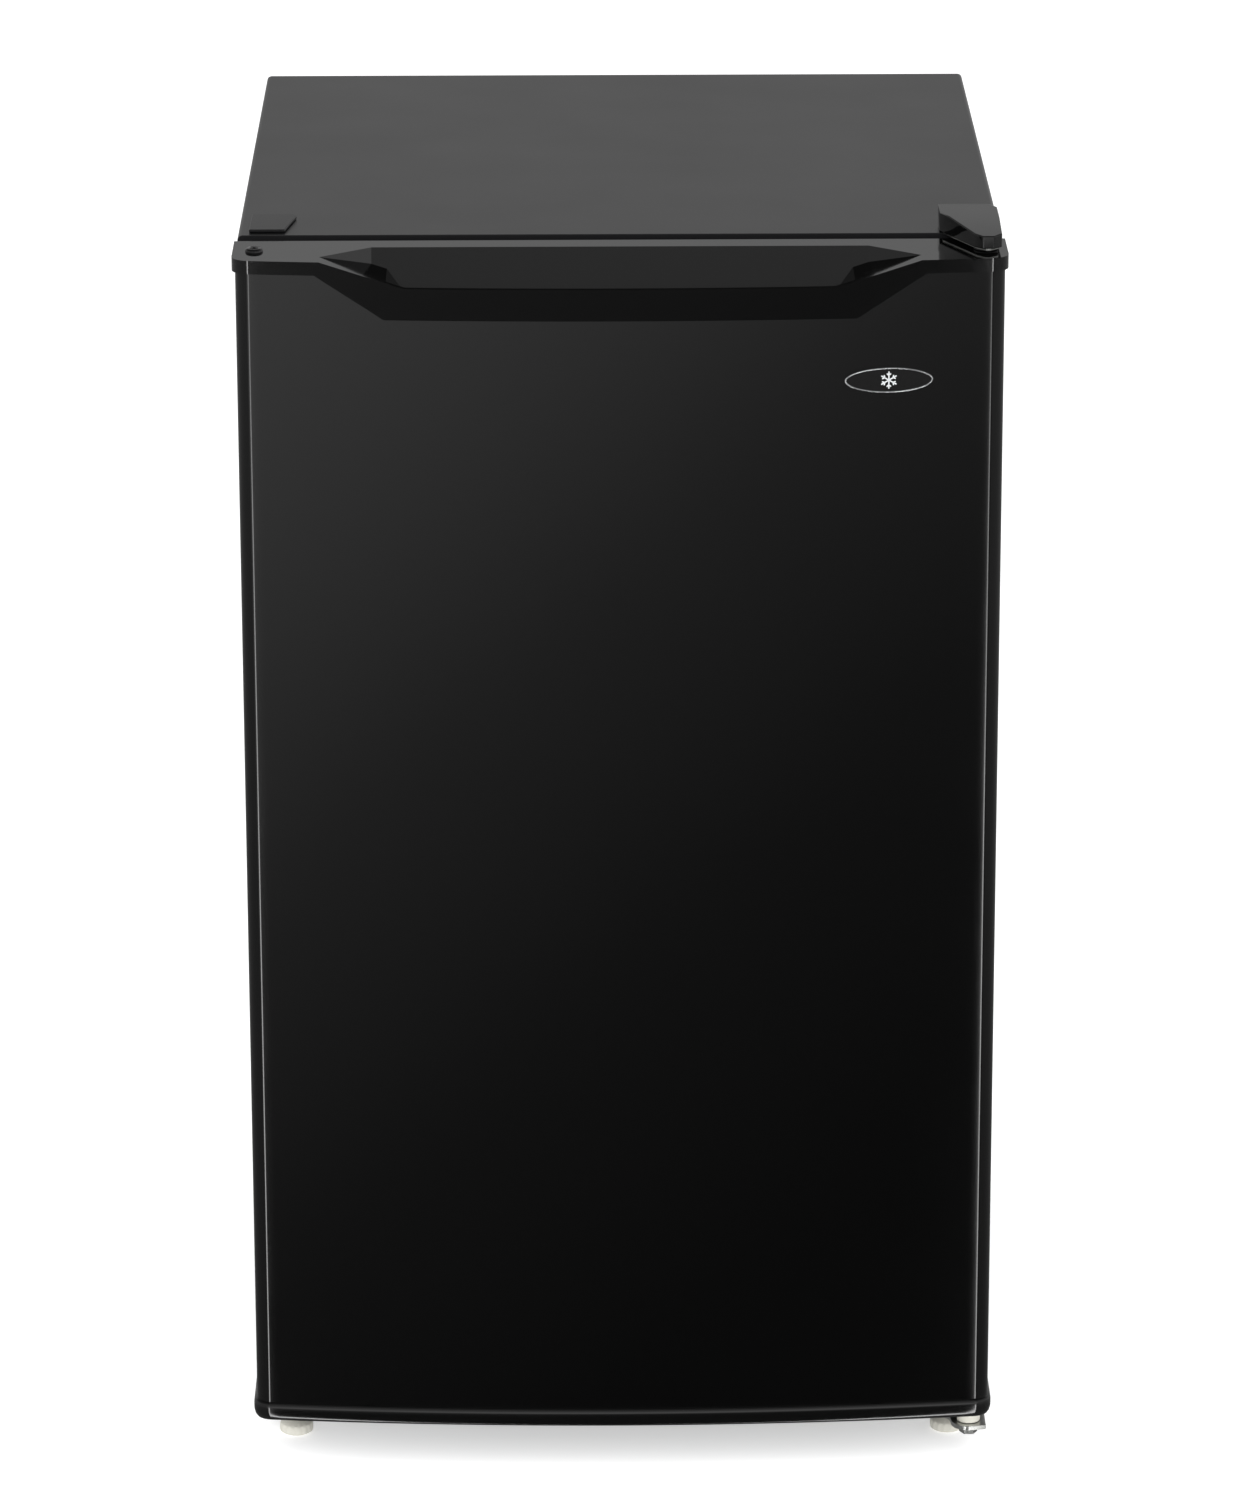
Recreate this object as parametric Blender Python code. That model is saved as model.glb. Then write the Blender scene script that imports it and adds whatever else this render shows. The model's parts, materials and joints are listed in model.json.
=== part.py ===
"""Compact undercounter refrigerator with a full-width freezer section, as separate parts.

Metres, +Z up. The origin is on the floor under the middle of the whole appliance.
The front faces -Y, and the door hangs on the right, seen from the front.
"""
import math

import bmesh
import bpy
from mathutils import Matrix, Vector

# ---- driving dimensions -------------------------------------------------------------------
# cabinet
CABINET_WIDTH = 0.470
CABINET_DEPTH = 0.450
CABINET_TOP = 0.812
CABINET_BOTTOM = 0.0345
CABINET_EDGE = 0.003            # radius of the outer folded edges
SHEET = 0.001                   # painted steel sheet
PAN_SHEET = 0.0012              # galvanised steel under the cabinet
FRONT_FLANGE = 0.030            # steel face that the magnetic gasket closes on
TOP_FLANGE = 0.040
SILL_HEIGHT = 0.0375
REAR_FLANGE = 0.010
LINER_WALL = 0.002
LINER_CORNER = 0.012
SIDE_WALL = 0.042               # outside of the steel to inside of the liner
TOP_WALL = 0.052
FLOOR_WALL = 0.0405
BACK_WALL = 0.050
STEP_WALL = 0.040               # insulation between compressor bay and liner
BAY_DEPTH = 0.175
BAY_HEIGHT = 0.180

# door
CAP_OVERHANG = 0.0015           # plastic end caps past the cabinet's sides
DOOR_SIDE = 0.049               # thickness at the door's sides
DOOR_BOW = 0.0135               # extra thickness in the middle of the bowed front
DOOR_CORNER = 0.012             # plan radius of the front corners
DOOR_GAP = 0.008                # back of the door to the cabinet's face
DOOR_TOP_DROP = 0.0016          # door top below the cabinet top
DOOR_BOTTOM = 0.0455
TOP_CAP_SKIRT = 0.0085
BOTTOM_CAP_SKIRT = 0.0125
CAP_WALL = 0.0025
PANEL_INSET = 0.002             # steel door skin behind the caps' skirts
PANEL_RETURN = 0.014
PANEL_IN_CAP = 0.0045           # how far the skin reaches up inside a skirt
DOOR_SKIN = 0.001
GASKET_WIDTH = 0.014
PAN_RECESS = 0.020              # depth of the door liner's pan
DYKE_CLEARANCE = 0.015          # door liner's side walls to the cabinet's liner
DYKE_WIDTH = 0.028
DYKE_REACH = 0.065              # how far they stand into the cabinet
SHALLOW_REACH = 0.008           # the same, in front of the freezer
DYKE_MARGIN = 0.017             # above the liner's floor and under its ceiling

# pocket handle in the door's top cap
HANDLE_TOP_HALF = 0.186
HANDLE_BOTTOM_HALF = 0.144
HANDLE_DROP = 0.036             # cap top to the lip's lower edge
NOTCH_TOP_HALF = 0.183
NOTCH_BOTTOM_HALF = 0.131
LIP_DROP = 0.0162               # cap top to the lip's upper edge
LIP_THICKNESS = 0.005
WELL_TOP_HALF = 0.152
WELL_BOTTOM_HALF = 0.118
WELL_DEPTH = 0.045
WELL_WALL = 0.0025
NOTCH_OVER = 0.004              # cutter over the door's top
STRIP_DEPTH = 0.017             # cap top behind the pocket
STRIP_END_DEPTH = 0.041

# nameplate on the door
BADGE_IN = 0.0731               # middle from the door's right side
BADGE_DROP = 0.0748             # middle below the door's top
BADGE_HALF_WIDTH = 0.0272
BADGE_HALF_HEIGHT = 0.0080

# hinges
HINGE_IN = 0.0133               # axis from the door's right side
HINGE_FORWARD = 0.026           # axis from the door's back
PIN_RADIUS = 0.004
PIN_LENGTH = 0.018              # how far a pin reaches into the door
BUSH_WALL = 0.003
HINGE_SHEET = 0.0025
HINGE_COVER_HEIGHT = 0.014
HINGE_COVER_NOSE = 0.007        # height of the cover's nose above the cabinet top
HINGE_COVER_BACK = 0.018        # behind the cabinet's face
HINGE_COVER_REACH = 0.050       # in front of the cabinet's face
HINGE_COVER_BACK_WIDTH = 0.036
HINGE_COVER_NOSE_WIDTH = 0.017
HINGE_COVER_SIDE = 0.0025       # in from the cabinet's side
COVER_WALL = 0.0015
WASHER_RADIUS = 0.0075
WASHER_THICKNESS = 0.0012
PLUG_RADIUS = 0.0055
LOWER_PLATE = 0.003

# fresh food and freezer sections
EAR_DROP = 0.007                # hinge ears below the flap's axis
FREEZER_BACK_SET = 0.142        # flap's front behind the cabinet's face
FREEZER_HEIGHT = 0.130
FREEZER_TOP_GAP = 0.012
FREEZER_SIDE_GAP = 0.010
FLAP_THICKNESS = 0.012
FLAP_PIN = 0.003
EVAPORATOR_SHEET = 0.0015
TRAY_HEIGHT = 0.018
RIB_DEPTH = 0.005
RIB_HEIGHT = 0.004
GLASS = 0.004
SHELF_FRONT = 0.085             # behind the cabinet's face
SHELF_COUNT = 2                 # evenly spaced between the step and the thermostat
SHELF_UNDER_STAT = 0.0422       # highest shelf under the thermostat
SHELF_SETBACK = 0.006           # ribs start ahead of the glass
CRISPER_FRONT = 0.088
BIN_WALL = 0.0025
BIN_COUNT = 2                   # evenly spaced over the bottle shelf
BIN_HEIGHT = 0.055
BIN_FLOOR = 0.0025
RAIL_LIFT = 0.045               # bottle rail over the bottle shelf
RAIL_HEIGHT = 0.032

# thermostat
STAT_WIDTH = 0.046
STAT_DEPTH = 0.100
STAT_HEIGHT = 0.072
KNOB_RADIUS = 0.017
KNOB_LENGTH = 0.013
BUTTON_RADIUS = 0.006
BUTTON_PROUD = 0.0035
BUTTON_TRAVEL = 0.003

# feet and machinery
FOOT_IN = 0.022                 # from the cabinet's side
FOOT_BACK = 0.032               # from the cabinet's face
FOOT_RADIUS = 0.011
FOOT_HEIGHT = 0.009
STUD_RADIUS = 0.004
STUD_INSIDE = 0.012
REAR_FOOT = 0.030
COMPRESSOR_WIDTH = 0.165
COMPRESSOR_LENGTH = 0.112
COMPRESSOR_HEIGHT = 0.138
GROMMET_HEIGHT = 0.012
TUBE_RADIUS = 0.0024
COIL_RUNS = 7
COIL_POCKET = 0.0065

GAP = 0.0003                    # between pieces that touch
OVER = 0.010                    # how far a cutter passes through
ROUND = 24
CORNER_STEPS = 7
BOW_STEPS = 28

# ---- places worked out from them -------------------------------------------------------------
DOOR_WIDTH = CABINET_WIDTH + 2 * CAP_OVERHANG
DEPTH = DOOR_BOW + DOOR_SIDE + DOOR_GAP + CABINET_DEPTH
DOOR_FRONT = -DEPTH / 2
DOOR_BACK = DOOR_FRONT + DOOR_BOW + DOOR_SIDE
FACE = DOOR_BACK + DOOR_GAP                       # the cabinet's front plane
REAR = FACE + CABINET_DEPTH
SIDE = CABINET_WIDTH / 2
DOOR_TOP = CABINET_TOP - DOOR_TOP_DROP
BOW_RADIUS = ((DOOR_WIDTH / 2) ** 2 + DOOR_BOW ** 2) / (2 * DOOR_BOW)
HINGE_X = DOOR_WIDTH / 2 - HINGE_IN
HINGE_Y = DOOR_BACK - HINGE_FORWARD
INNER_SIDE = SIDE - SIDE_WALL
INNER_TOP = CABINET_TOP - TOP_WALL
INNER_FLOOR = CABINET_BOTTOM + FLOOR_WALL
INNER_BACK = REAR - BACK_WALL
BAY_FRONT = REAR - BAY_DEPTH
BAY_TOP = CABINET_BOTTOM + BAY_HEIGHT
STEP_FRONT = BAY_FRONT - STEP_WALL
STEP_TOP = BAY_TOP + STEP_WALL
SILL_TOP = CABINET_BOTTOM + SILL_HEIGHT
PANEL_TOP = DOOR_TOP - TOP_CAP_SKIRT + PANEL_IN_CAP
PANEL_BOTTOM = DOOR_BOTTOM + BOTTOM_CAP_SKIRT - PANEL_IN_CAP
DYKE_TOP = INNER_TOP - DYKE_MARGIN
DYKE_FLOOR = INNER_FLOOR + DYKE_MARGIN
DYKE_OUTER = INNER_SIDE - DYKE_CLEARANCE
DYKE_INNER = DYKE_OUTER - DYKE_WIDTH
PAN_FRONT = DOOR_BACK - PAN_RECESS
FREEZER_TOP = INNER_TOP - FREEZER_TOP_GAP
FREEZER_FLOOR = FREEZER_TOP - FREEZER_HEIGHT
FREEZER_HALF = INNER_SIDE - FREEZER_SIDE_GAP
FLAP_FRONT = FACE + FREEZER_BACK_SET
FLAP_AXIS_Y = FLAP_FRONT + FLAP_THICKNESS / 2
FLAP_AXIS_Z = FREEZER_TOP - FLAP_THICKNESS / 2
EVAPORATOR_FRONT = FLAP_FRONT + FLAP_THICKNESS * 1.5
TRAY_TOP = FREEZER_FLOOR - 0.003
TRAY_FLOOR = TRAY_TOP - TRAY_HEIGHT
DYKE_CHANGE = TRAY_FLOOR - 0.006                  # where the door liner's side walls turn shallow
DYKE_SLOPE = 0.020
BOTTLE_FLOOR = DYKE_FLOOR + DYKE_WIDTH
PLATE_TOP = CABINET_BOTTOM - GAP


# ---- scene and helpers -------------------------------------------------------------------------
def clear_scene():
    for obj in list(bpy.data.objects):
        bpy.data.objects.remove(obj, do_unlink=True)


def material(name, colour, roughness, metallic=0.0, alpha=1.0):
    made = bpy.data.materials.new(name)
    made.use_nodes = True
    shader = made.node_tree.nodes["Principled BSDF"]
    shader.inputs["Base Color"].default_value = (*colour, 1.0)
    shader.inputs["Roughness"].default_value = roughness
    shader.inputs["Metallic"].default_value = metallic
    shader.inputs["Alpha"].default_value = alpha
    made.diffuse_color = (*colour, alpha)
    return made


def joint_empty(name, place):
    empty = bpy.data.objects.new(name, None)
    empty.location = place
    empty.empty_display_size = 0.05
    bpy.context.collection.objects.link(empty)
    return empty


def make(name, bm, surface, parent=None, origin=None):
    """One piece from a bmesh in world coordinates, with its origin at its middle or on its axis."""
    bmesh.ops.remove_doubles(bm, verts=bm.verts, dist=1e-6)
    bmesh.ops.recalc_face_normals(bm, faces=bm.faces)
    corners = [vert.co for vert in bm.verts]
    if origin is None:
        low = Vector([min(co[i] for co in corners) for i in range(3)])
        high = Vector([max(co[i] for co in corners) for i in range(3)])
        origin = (low + high) / 2
    bmesh.ops.translate(bm, verts=bm.verts, vec=-Vector(origin))
    mesh = bpy.data.meshes.new(name)
    bm.to_mesh(mesh)
    bm.free()
    mesh.shade_smooth()
    mesh.set_sharp_from_angle(angle=math.radians(35))
    if surface:
        mesh.materials.append(surface)
    obj = bpy.data.objects.new(name, mesh)
    bpy.context.collection.objects.link(obj)
    obj.location = origin
    if parent:
        obj.parent = parent
        obj.location = Vector(origin) - parent.location
    return obj


def boolean(obj, bm, operation="DIFFERENCE"):
    count = len(obj.modifiers) + 1
    tool = make(f"{obj.name}_tool_{count}", bm, None)
    tool.hide_render = True
    tool.display_type = "WIRE"
    modifier = obj.modifiers.new(f"{operation.lower()}_{count}", "BOOLEAN")
    modifier.operation = operation
    modifier.solver = "EXACT"
    modifier.object = tool
    return obj


def prism(points, low, high, axis="Z"):
    """A closed outline pushed from low to high along an axis. Points are XY, XZ or YZ pairs."""
    bm = bmesh.new()
    spots = {
        "X": lambda p: (low, p[0], p[1]),
        "Y": lambda p: (p[0], low, p[1]),
        "Z": lambda p: (p[0], p[1], low),
    }[axis]
    face = bm.faces.new([bm.verts.new(spots(p)) for p in points])
    pushed = bmesh.ops.extrude_face_region(bm, geom=[face])["geom"]
    moved = [item for item in pushed if isinstance(item, bmesh.types.BMVert)]
    travel = Vector([(high - low) * (axis == name) for name in "XYZ"])
    bmesh.ops.translate(bm, verts=moved, vec=travel)
    bmesh.ops.recalc_face_normals(bm, faces=bm.faces)
    return bm


def block(x, y, z):
    """A box from (low, high) pairs."""
    return prism([(x[0], y[0]), (x[1], y[0]), (x[1], y[1]), (x[0], y[1])], z[0], z[1])


def together(*parts):
    """Several bmeshes as one, still separate bodies."""
    whole = bmesh.new()
    for part in parts:
        mesh = bpy.data.meshes.new("part")
        part.to_mesh(mesh)
        part.free()
        whole.from_mesh(mesh)
        bpy.data.meshes.remove(mesh)
    return whole


def round_edges(bm, radius, choose, segments=3):
    edges = [edge for edge in bm.edges if choose(edge)]
    bmesh.ops.bevel(bm, geom=edges, offset=radius, segments=segments, profile=0.5,
                    affect="EDGES", material=-1)
    return bm


def along(axis):
    """Chooses edges that run along an axis."""
    index = "XYZ".index(axis)

    def chosen(edge):
        run = edge.verts[1].co - edge.verts[0].co
        return abs(run[index]) > 0.999 * run.length
    return chosen


def any_edge(edge):
    return edge.calc_face_angle(0) > math.radians(30)


def arc(centre, radius, start, end, steps):
    """Points on an arc, angles in radians, both ends included."""
    turns = [start + (end - start) * i / steps for i in range(steps + 1)]
    return [(centre[0] + radius * math.cos(t), centre[1] + radius * math.sin(t)) for t in turns]


def circle(centre, radius, steps=ROUND):
    return arc(centre, radius, 0, 2 * math.pi * (1 - 1 / steps), steps - 1)


def rod(centre, radius, low, high, axis="Z", steps=ROUND):
    return prism(circle(centre, radius, steps), low, high, axis)


def ring(centre, outer, inner, low, high, axis="Z", steps=ROUND):
    """A tube wall: a rectangle spun round +Z, then laid along its axis."""
    bm = bmesh.new()
    verts = [bm.verts.new((r, 0, z)) for r, z in ((outer, low), (outer, high), (inner, high), (inner, low))]
    edges = [bm.edges.new((verts[i - 1], verts[i])) for i in range(4)]
    bmesh.ops.spin(bm, geom=verts + edges, cent=(0, 0, 0), axis=(0, 0, 1),
                   angle=2 * math.pi, steps=steps, use_merge=True)
    bmesh.ops.remove_doubles(bm, verts=bm.verts, dist=1e-6)
    place = (centre[0], centre[1], 0)
    if axis == "Y":
        bmesh.ops.rotate(bm, cent=(0, 0, 0), matrix=Matrix.Rotation(-math.pi / 2, 3, "X"), verts=bm.verts)
        place = (centre[0], 0, centre[1])
    bmesh.ops.translate(bm, vec=place, verts=bm.verts)
    bmesh.ops.recalc_face_normals(bm, faces=bm.faces)
    return bm


def turned(profile, place, steps=ROUND, stretch=(1, 1)):
    """A profile of (radius, height) points spun round +Z, then placed."""
    bm = bmesh.new()
    verts = [bm.verts.new((r, 0, z)) for r, z in profile]
    edges = [bm.edges.new(pair) for pair in zip(verts, verts[1:])]
    bmesh.ops.spin(bm, geom=verts + edges, cent=(0, 0, 0), axis=(0, 0, 1),
                   angle=2 * math.pi, steps=steps, use_merge=True)
    bmesh.ops.remove_doubles(bm, verts=bm.verts, dist=1e-6)
    bmesh.ops.scale(bm, vec=(stretch[0], stretch[1], 1), verts=bm.verts)
    bmesh.ops.translate(bm, vec=place, verts=bm.verts)
    bmesh.ops.recalc_face_normals(bm, faces=bm.faces)
    return bm


def turn_about(bm, place, angle, axis="Z"):
    bmesh.ops.rotate(bm, cent=place, matrix=Matrix.Rotation(angle, 3, axis), verts=bm.verts)
    return bm


def tube(name, points, radius, surface):
    """A bent tube along hand-set points."""
    curve = bpy.data.curves.new(name, "CURVE")
    curve.dimensions = "3D"
    curve.bevel_depth = radius
    curve.bevel_resolution = 2
    curve.use_fill_caps = True
    spline = curve.splines.new("POLY")
    spline.points.add(len(points) - 1)
    middle = sum((Vector(p) for p in points), Vector()) / len(points)
    for point, place in zip(spline.points, points):
        point.co = (*(Vector(place) - middle), 1.0)
    curve.materials.append(surface)
    obj = bpy.data.objects.new(name, curve)
    obj.location = middle
    bpy.context.collection.objects.link(obj)
    return obj


def door_outline(inset=0.0, back=0.0):
    """The door's plan: flat back and sides, rounded front corners and a bowed front."""
    half = DOOR_WIDTH / 2 - inset
    big = BOW_RADIUS - inset
    small = DOOR_CORNER - inset
    centre_y = DOOR_FRONT + BOW_RADIUS
    corner_x = half - small
    lean = math.asin(corner_x / (big - small))
    corner_y = centre_y - (big - small) * math.cos(lean)
    quarter = math.pi / 2
    points = [(half, DOOR_BACK - back)]
    points += arc((corner_x, corner_y), small, 0, lean - quarter, CORNER_STEPS)
    points += arc((0, centre_y), big, lean - quarter, -lean - quarter, BOW_STEPS)[1:-1]
    points += arc((-corner_x, corner_y), small, -lean - quarter, -2 * quarter, CORNER_STEPS)
    points += [(-half, DOOR_BACK - back)]
    return points


def door_front(x):
    """The y of the caps' bowed front at x."""
    return DOOR_FRONT + BOW_RADIUS - math.sqrt(BOW_RADIUS ** 2 - x ** 2)


# ---- cabinet -----------------------------------------------------------------------------------
def step_outline(inset, front):
    """The liner's side view, with the step over the compressor bay."""
    floor = INNER_FLOOR + inset
    top = INNER_TOP - inset
    back = INNER_BACK - inset
    return [(front, floor), (STEP_FRONT - inset, floor), (STEP_FRONT - inset, STEP_TOP + inset),
            (back, STEP_TOP + inset), (back, top), (front, top)]


def liner_shape(inset, front, corner):
    bm = prism(step_outline(inset, front), -INNER_SIDE + inset, INNER_SIDE - inset, "X")

    def behind_mouth(edge):
        return any_edge(edge) and max(v.co.y for v in edge.verts) > front + 1e-5
    return round_edges(bm, corner, behind_mouth)


def build_shell(paint):
    outer = block((-SIDE, SIDE), (FACE, REAR), (CABINET_BOTTOM, CABINET_TOP))

    def folded(edge):
        return min(v.co.z for v in edge.verts) > CABINET_TOP - 1e-5 and along("Y")(edge)
    shell = make("cabinet_shell", round_edges(outer, CABINET_EDGE, folded), paint)
    low = CABINET_BOTTOM - OVER
    hollow = block((-SIDE + SHEET, SIDE - SHEET), (FACE + SHEET, REAR - SHEET), (low, CABINET_TOP - SHEET))

    def folded_inside(edge):
        return min(v.co.z for v in edge.verts) > CABINET_TOP - SHEET - 1e-5 and along("Y")(edge)
    boolean(shell, round_edges(hollow, CABINET_EDGE - SHEET, folded_inside))
    mouth = SIDE - FRONT_FLANGE
    boolean(shell, block((-mouth, mouth), (FACE - OVER, FACE + OVER), (low, CABINET_TOP - TOP_FLANGE)))
    rear = SIDE - REAR_FLANGE
    rear_opening = block((-rear, rear), (REAR - OVER, REAR + OVER), (low, CABINET_TOP - REAR_FLANGE))
    return boolean(shell, rear_opening)


def build_back_panel(paint):
    half = SIDE - REAR_FLANGE - GAP
    return make("back_panel", block((-half, half), (REAR - SHEET, REAR),
                                    (BAY_TOP, CABINET_TOP - REAR_FLANGE - GAP)), paint)


def foot_spots():
    return [(side * (SIDE - FOOT_IN), FACE + FOOT_BACK) for side in (-1, 1)]


def build_base_pan(zinc):
    half = SIDE - SHEET - GAP
    sill = SIDE - FRONT_FLANGE - GAP
    low = CABINET_BOTTOM
    pan = make("base_pan", block((-half, half), (FACE + SHEET + GAP, BAY_FRONT - SHEET - GAP),
                                 (low, low + PAN_SHEET)), zinc)
    boolean(pan, block((-sill, sill), (FACE, FACE + PAN_SHEET * 2), (low, SILL_TOP)), "UNION")
    boolean(pan, block((-sill - OVER, sill + OVER), (FACE + PAN_SHEET, FACE + PAN_SHEET * 2 + OVER),
                       (low + PAN_SHEET, SILL_TOP + OVER)))
    for spot in foot_spots():
        boolean(pan, rod(spot, STUD_RADIUS + GAP * 2, low - OVER, low + OVER))
    return pan


def build_bay_panel(zinc):
    half = SIDE - SHEET - GAP
    y = BAY_FRONT
    top = BAY_TOP
    outline = [(y - SHEET, CABINET_BOTTOM), (y, CABINET_BOTTOM), (y, top - SHEET),
               (REAR - SHEET - GAP, top - SHEET), (REAR - SHEET - GAP, top), (y - SHEET, top)]
    return make("compressor_bay_panel", prism(outline, -half, half, "X"), zinc)


def build_cabinet_foam(foam):
    half = SIDE - SHEET - GAP
    front = FACE + LINER_WALL + GAP
    back = REAR - SHEET - GAP
    low = CABINET_BOTTOM + PAN_SHEET + GAP
    top = CABINET_TOP - SHEET - GAP
    bay = BAY_FRONT - SHEET - GAP
    outline = [(front, low), (bay, low), (bay, BAY_TOP + GAP), (back, BAY_TOP + GAP),
               (back, top), (front, top)]
    body = prism(outline, -half, half, "X")

    def upper(edge):
        return min(v.co.z for v in edge.verts) > top - 1e-5 and along("Y")(edge)
    body = make("cabinet_foam", round_edges(body, CABINET_EDGE - SHEET, upper), foam)
    boolean(body, liner_shape(-LINER_WALL - GAP, front - OVER, LINER_CORNER + LINER_WALL))
    for spot in foot_spots():
        boolean(body, rod(spot, STUD_RADIUS + 0.003, low - OVER, CABINET_BOTTOM + STUD_INSIDE + 0.003))
    for side in (-1, 1):
        inner, outer = sorted((side * (half - COIL_POCKET), side * (half + OVER)))
        boolean(body, block((inner, outer), coil_span_y(), coil_span_z()))
    return body


def build_liner(plastic):
    front_half = SIDE - FRONT_FLANGE - GAP
    flange = block((-front_half, front_half), (FACE, FACE + LINER_WALL),
                   (SILL_TOP + GAP, CABINET_TOP - TOP_FLANGE - GAP))
    liner = make("cabinet_liner", flange, plastic)
    boolean(liner, liner_shape(-LINER_WALL, FACE + LINER_WALL / 2, LINER_CORNER + LINER_WALL), "UNION")
    boolean(liner, liner_shape(0.0, FACE - OVER, LINER_CORNER))
    ribs = []
    for level in rib_levels():
        depth = (FACE + SHELF_FRONT - SHELF_SETBACK, rib_back(level))
        for side in (-1, 1):
            x = sorted((side * (INNER_SIDE + LINER_WALL / 2), side * (INNER_SIDE - RIB_DEPTH)))
            ribs.append(block(x, depth, (level - RIB_HEIGHT, level)))
    return boolean(liner, together(*ribs), "UNION")


def crisper_level():
    return STEP_TOP - GLASS - GAP


def shelf_levels():
    highest = TRAY_FLOOR - STAT_HEIGHT - SHELF_UNDER_STAT
    pitch = (highest - STEP_TOP) / SHELF_COUNT
    return [STEP_TOP + pitch * (i + 1) for i in range(SHELF_COUNT)]


def bin_levels():
    pitch = (DYKE_CHANGE - DYKE_SLOPE - BOTTLE_FLOOR) / (BIN_COUNT + 1)
    return [BOTTLE_FLOOR + pitch * (i + 1) for i in range(BIN_COUNT)]


def rib_levels():
    return (crisper_level(), *shelf_levels())


def rib_back(level):
    """A rib stops short of the step, or of the rear wall above it."""
    wall = STEP_FRONT if level < STEP_TOP else INNER_BACK
    return wall - LINER_CORNER - 0.003


def coil_span_y():
    return FACE + 0.050, REAR - 0.045


def coil_span_z():
    return STEP_TOP + 0.060, INNER_TOP - 0.020


def build_condensers(steel):
    """Serpentine tubes that lie against the inside of each steel side."""
    low_y, high_y = coil_span_y()
    low_z, high_z = coil_span_z()
    margin = TUBE_RADIUS + 0.004
    pitch = (high_z - low_z - 2 * margin) / (COIL_RUNS - 1)
    bend = pitch / 2
    for side, label in ((-1, "left"), (1, "right")):
        x = side * (SIDE - SHEET - TUBE_RADIUS - 2 * GAP)
        points = []
        for run in range(COIL_RUNS):
            z = low_z + margin + run * pitch
            ends = [low_y + margin + bend, high_y - margin - bend]
            if run % 2:
                ends.reverse()
            points += [(x, ends[0], z), (x, ends[1], z)]
            if run < COIL_RUNS - 1:
                turn = 1 if run % 2 == 0 else -1
                centre = (ends[1], z + bend)
                half_turn = arc(centre, bend, -math.pi / 2, turn * math.pi - math.pi / 2, 6)
                points += [(x, y, height) for y, height in half_turn[1:-1]]
        tube(f"condenser_coil_{label}", points, TUBE_RADIUS, steel)


# ---- worktop pieces and hinges -----------------------------------------------------------------
def build_hinge_hole_cap(plastic):
    left = -SIDE + 0.007
    near = FACE + 0.0062
    far = FACE + 0.047
    outline = [(left, near), (left + 0.022, near), (left + 0.028, far - 0.005),
               (left + 0.026, far), (left, far)]
    low = CABINET_TOP + GAP
    bm = prism(outline, low, low + 0.0018)

    def rim(edge):
        return min(v.co.z for v in edge.verts) > low + 1e-5
    return make("hinge_hole_cap", round_edges(bm, 0.0006, rim, 2), plastic)


def hinge_cover_outline(inset):
    right = SIDE - HINGE_COVER_SIDE - inset
    back = FACE + HINGE_COVER_BACK - inset
    front = FACE - HINGE_COVER_REACH + inset
    wide = right - HINGE_COVER_BACK_WIDTH + 2 * inset
    narrow = right - HINGE_COVER_NOSE_WIDTH + 2 * inset
    corner = 0.005
    return [(wide, back), (right - corner, back), (right, back - corner * 1.6),
            (right, front + corner), (right - corner, front), (narrow + corner, front),
            (narrow, front + corner), (wide, FACE - 0.004)]


def build_top_hinge(steel, zinc, plastic, nylon):
    cover_floor = CABINET_TOP + HINGE_SHEET * 0.8
    top = CABINET_TOP + HINGE_COVER_HEIGHT
    cover = make("top_hinge_cover", prism(hinge_cover_outline(0), CABINET_TOP + GAP, top), plastic)
    nose = CABINET_TOP + HINGE_COVER_NOSE
    slope_start = FACE - 0.014
    slope_end = FACE - HINGE_COVER_REACH
    slope = [(slope_start, top), (slope_end, nose), (slope_end - OVER, nose - 0.001),
             (slope_end - OVER, top + OVER), (slope_start, top + OVER)]
    boolean(cover, prism(slope, 0, SIDE + OVER, "X"))
    boolean(cover, block((0, SIDE + OVER), (slope_end - OVER, FACE - 0.001),
                         (CABINET_TOP - OVER, cover_floor)))
    hollow = prism(hinge_cover_outline(COVER_WALL), CABINET_TOP - OVER, top - COVER_WALL)
    boolean(cover, hollow_under_slope(hollow, slope_start, slope_end, top, nose))

    plate_low = CABINET_TOP + GAP
    plate_high = plate_low + HINGE_SHEET
    inner = hinge_cover_outline(COVER_WALL + 2 * GAP)
    plate = make("top_hinge_plate", prism(inner, plate_low, plate_high), steel)
    pin_low = DOOR_TOP - PIN_LENGTH
    boolean(plate, rod((HINGE_X, HINGE_Y), PIN_RADIUS, pin_low, plate_low + HINGE_SHEET / 2), "UNION")

    spots = [(SIDE - 0.030, FACE + 0.008), (SIDE - 0.012, FACE + 0.008)]
    head = [(0, 0), (0.0040, 0), (0.0040, 0.0014), (0.0026, 0.0024), (0, 0.0024)]
    for number, (x, y) in enumerate(spots, 1):
        make(f"top_hinge_screw_{number}", turned(head, (x, y, plate_high + GAP), 12), zinc)
    washer_low = DOOR_TOP + GAP
    washer = ring((HINGE_X, HINGE_Y), WASHER_RADIUS, PIN_RADIUS + GAP, washer_low,
                  min(washer_low + WASHER_THICKNESS, plate_low - GAP))
    make("top_hinge_washer", washer, nylon)


def hollow_under_slope(hollow, start, end, top, nose):
    """Lowers the hollow's ceiling along the cover's sloping nose."""
    fall = (top - nose) / (start - end)
    ceiling = top - COVER_WALL
    bmesh.ops.bisect_plane(hollow, geom=hollow.verts[:] + hollow.edges[:] + hollow.faces[:],
                           plane_co=(0, start, 0), plane_no=(0, 1, 0))
    for vert in hollow.verts:
        if vert.co.z > ceiling - 1e-5 and vert.co.y < start:
            vert.co.z -= (start - vert.co.y) * fall
    return hollow


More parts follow.
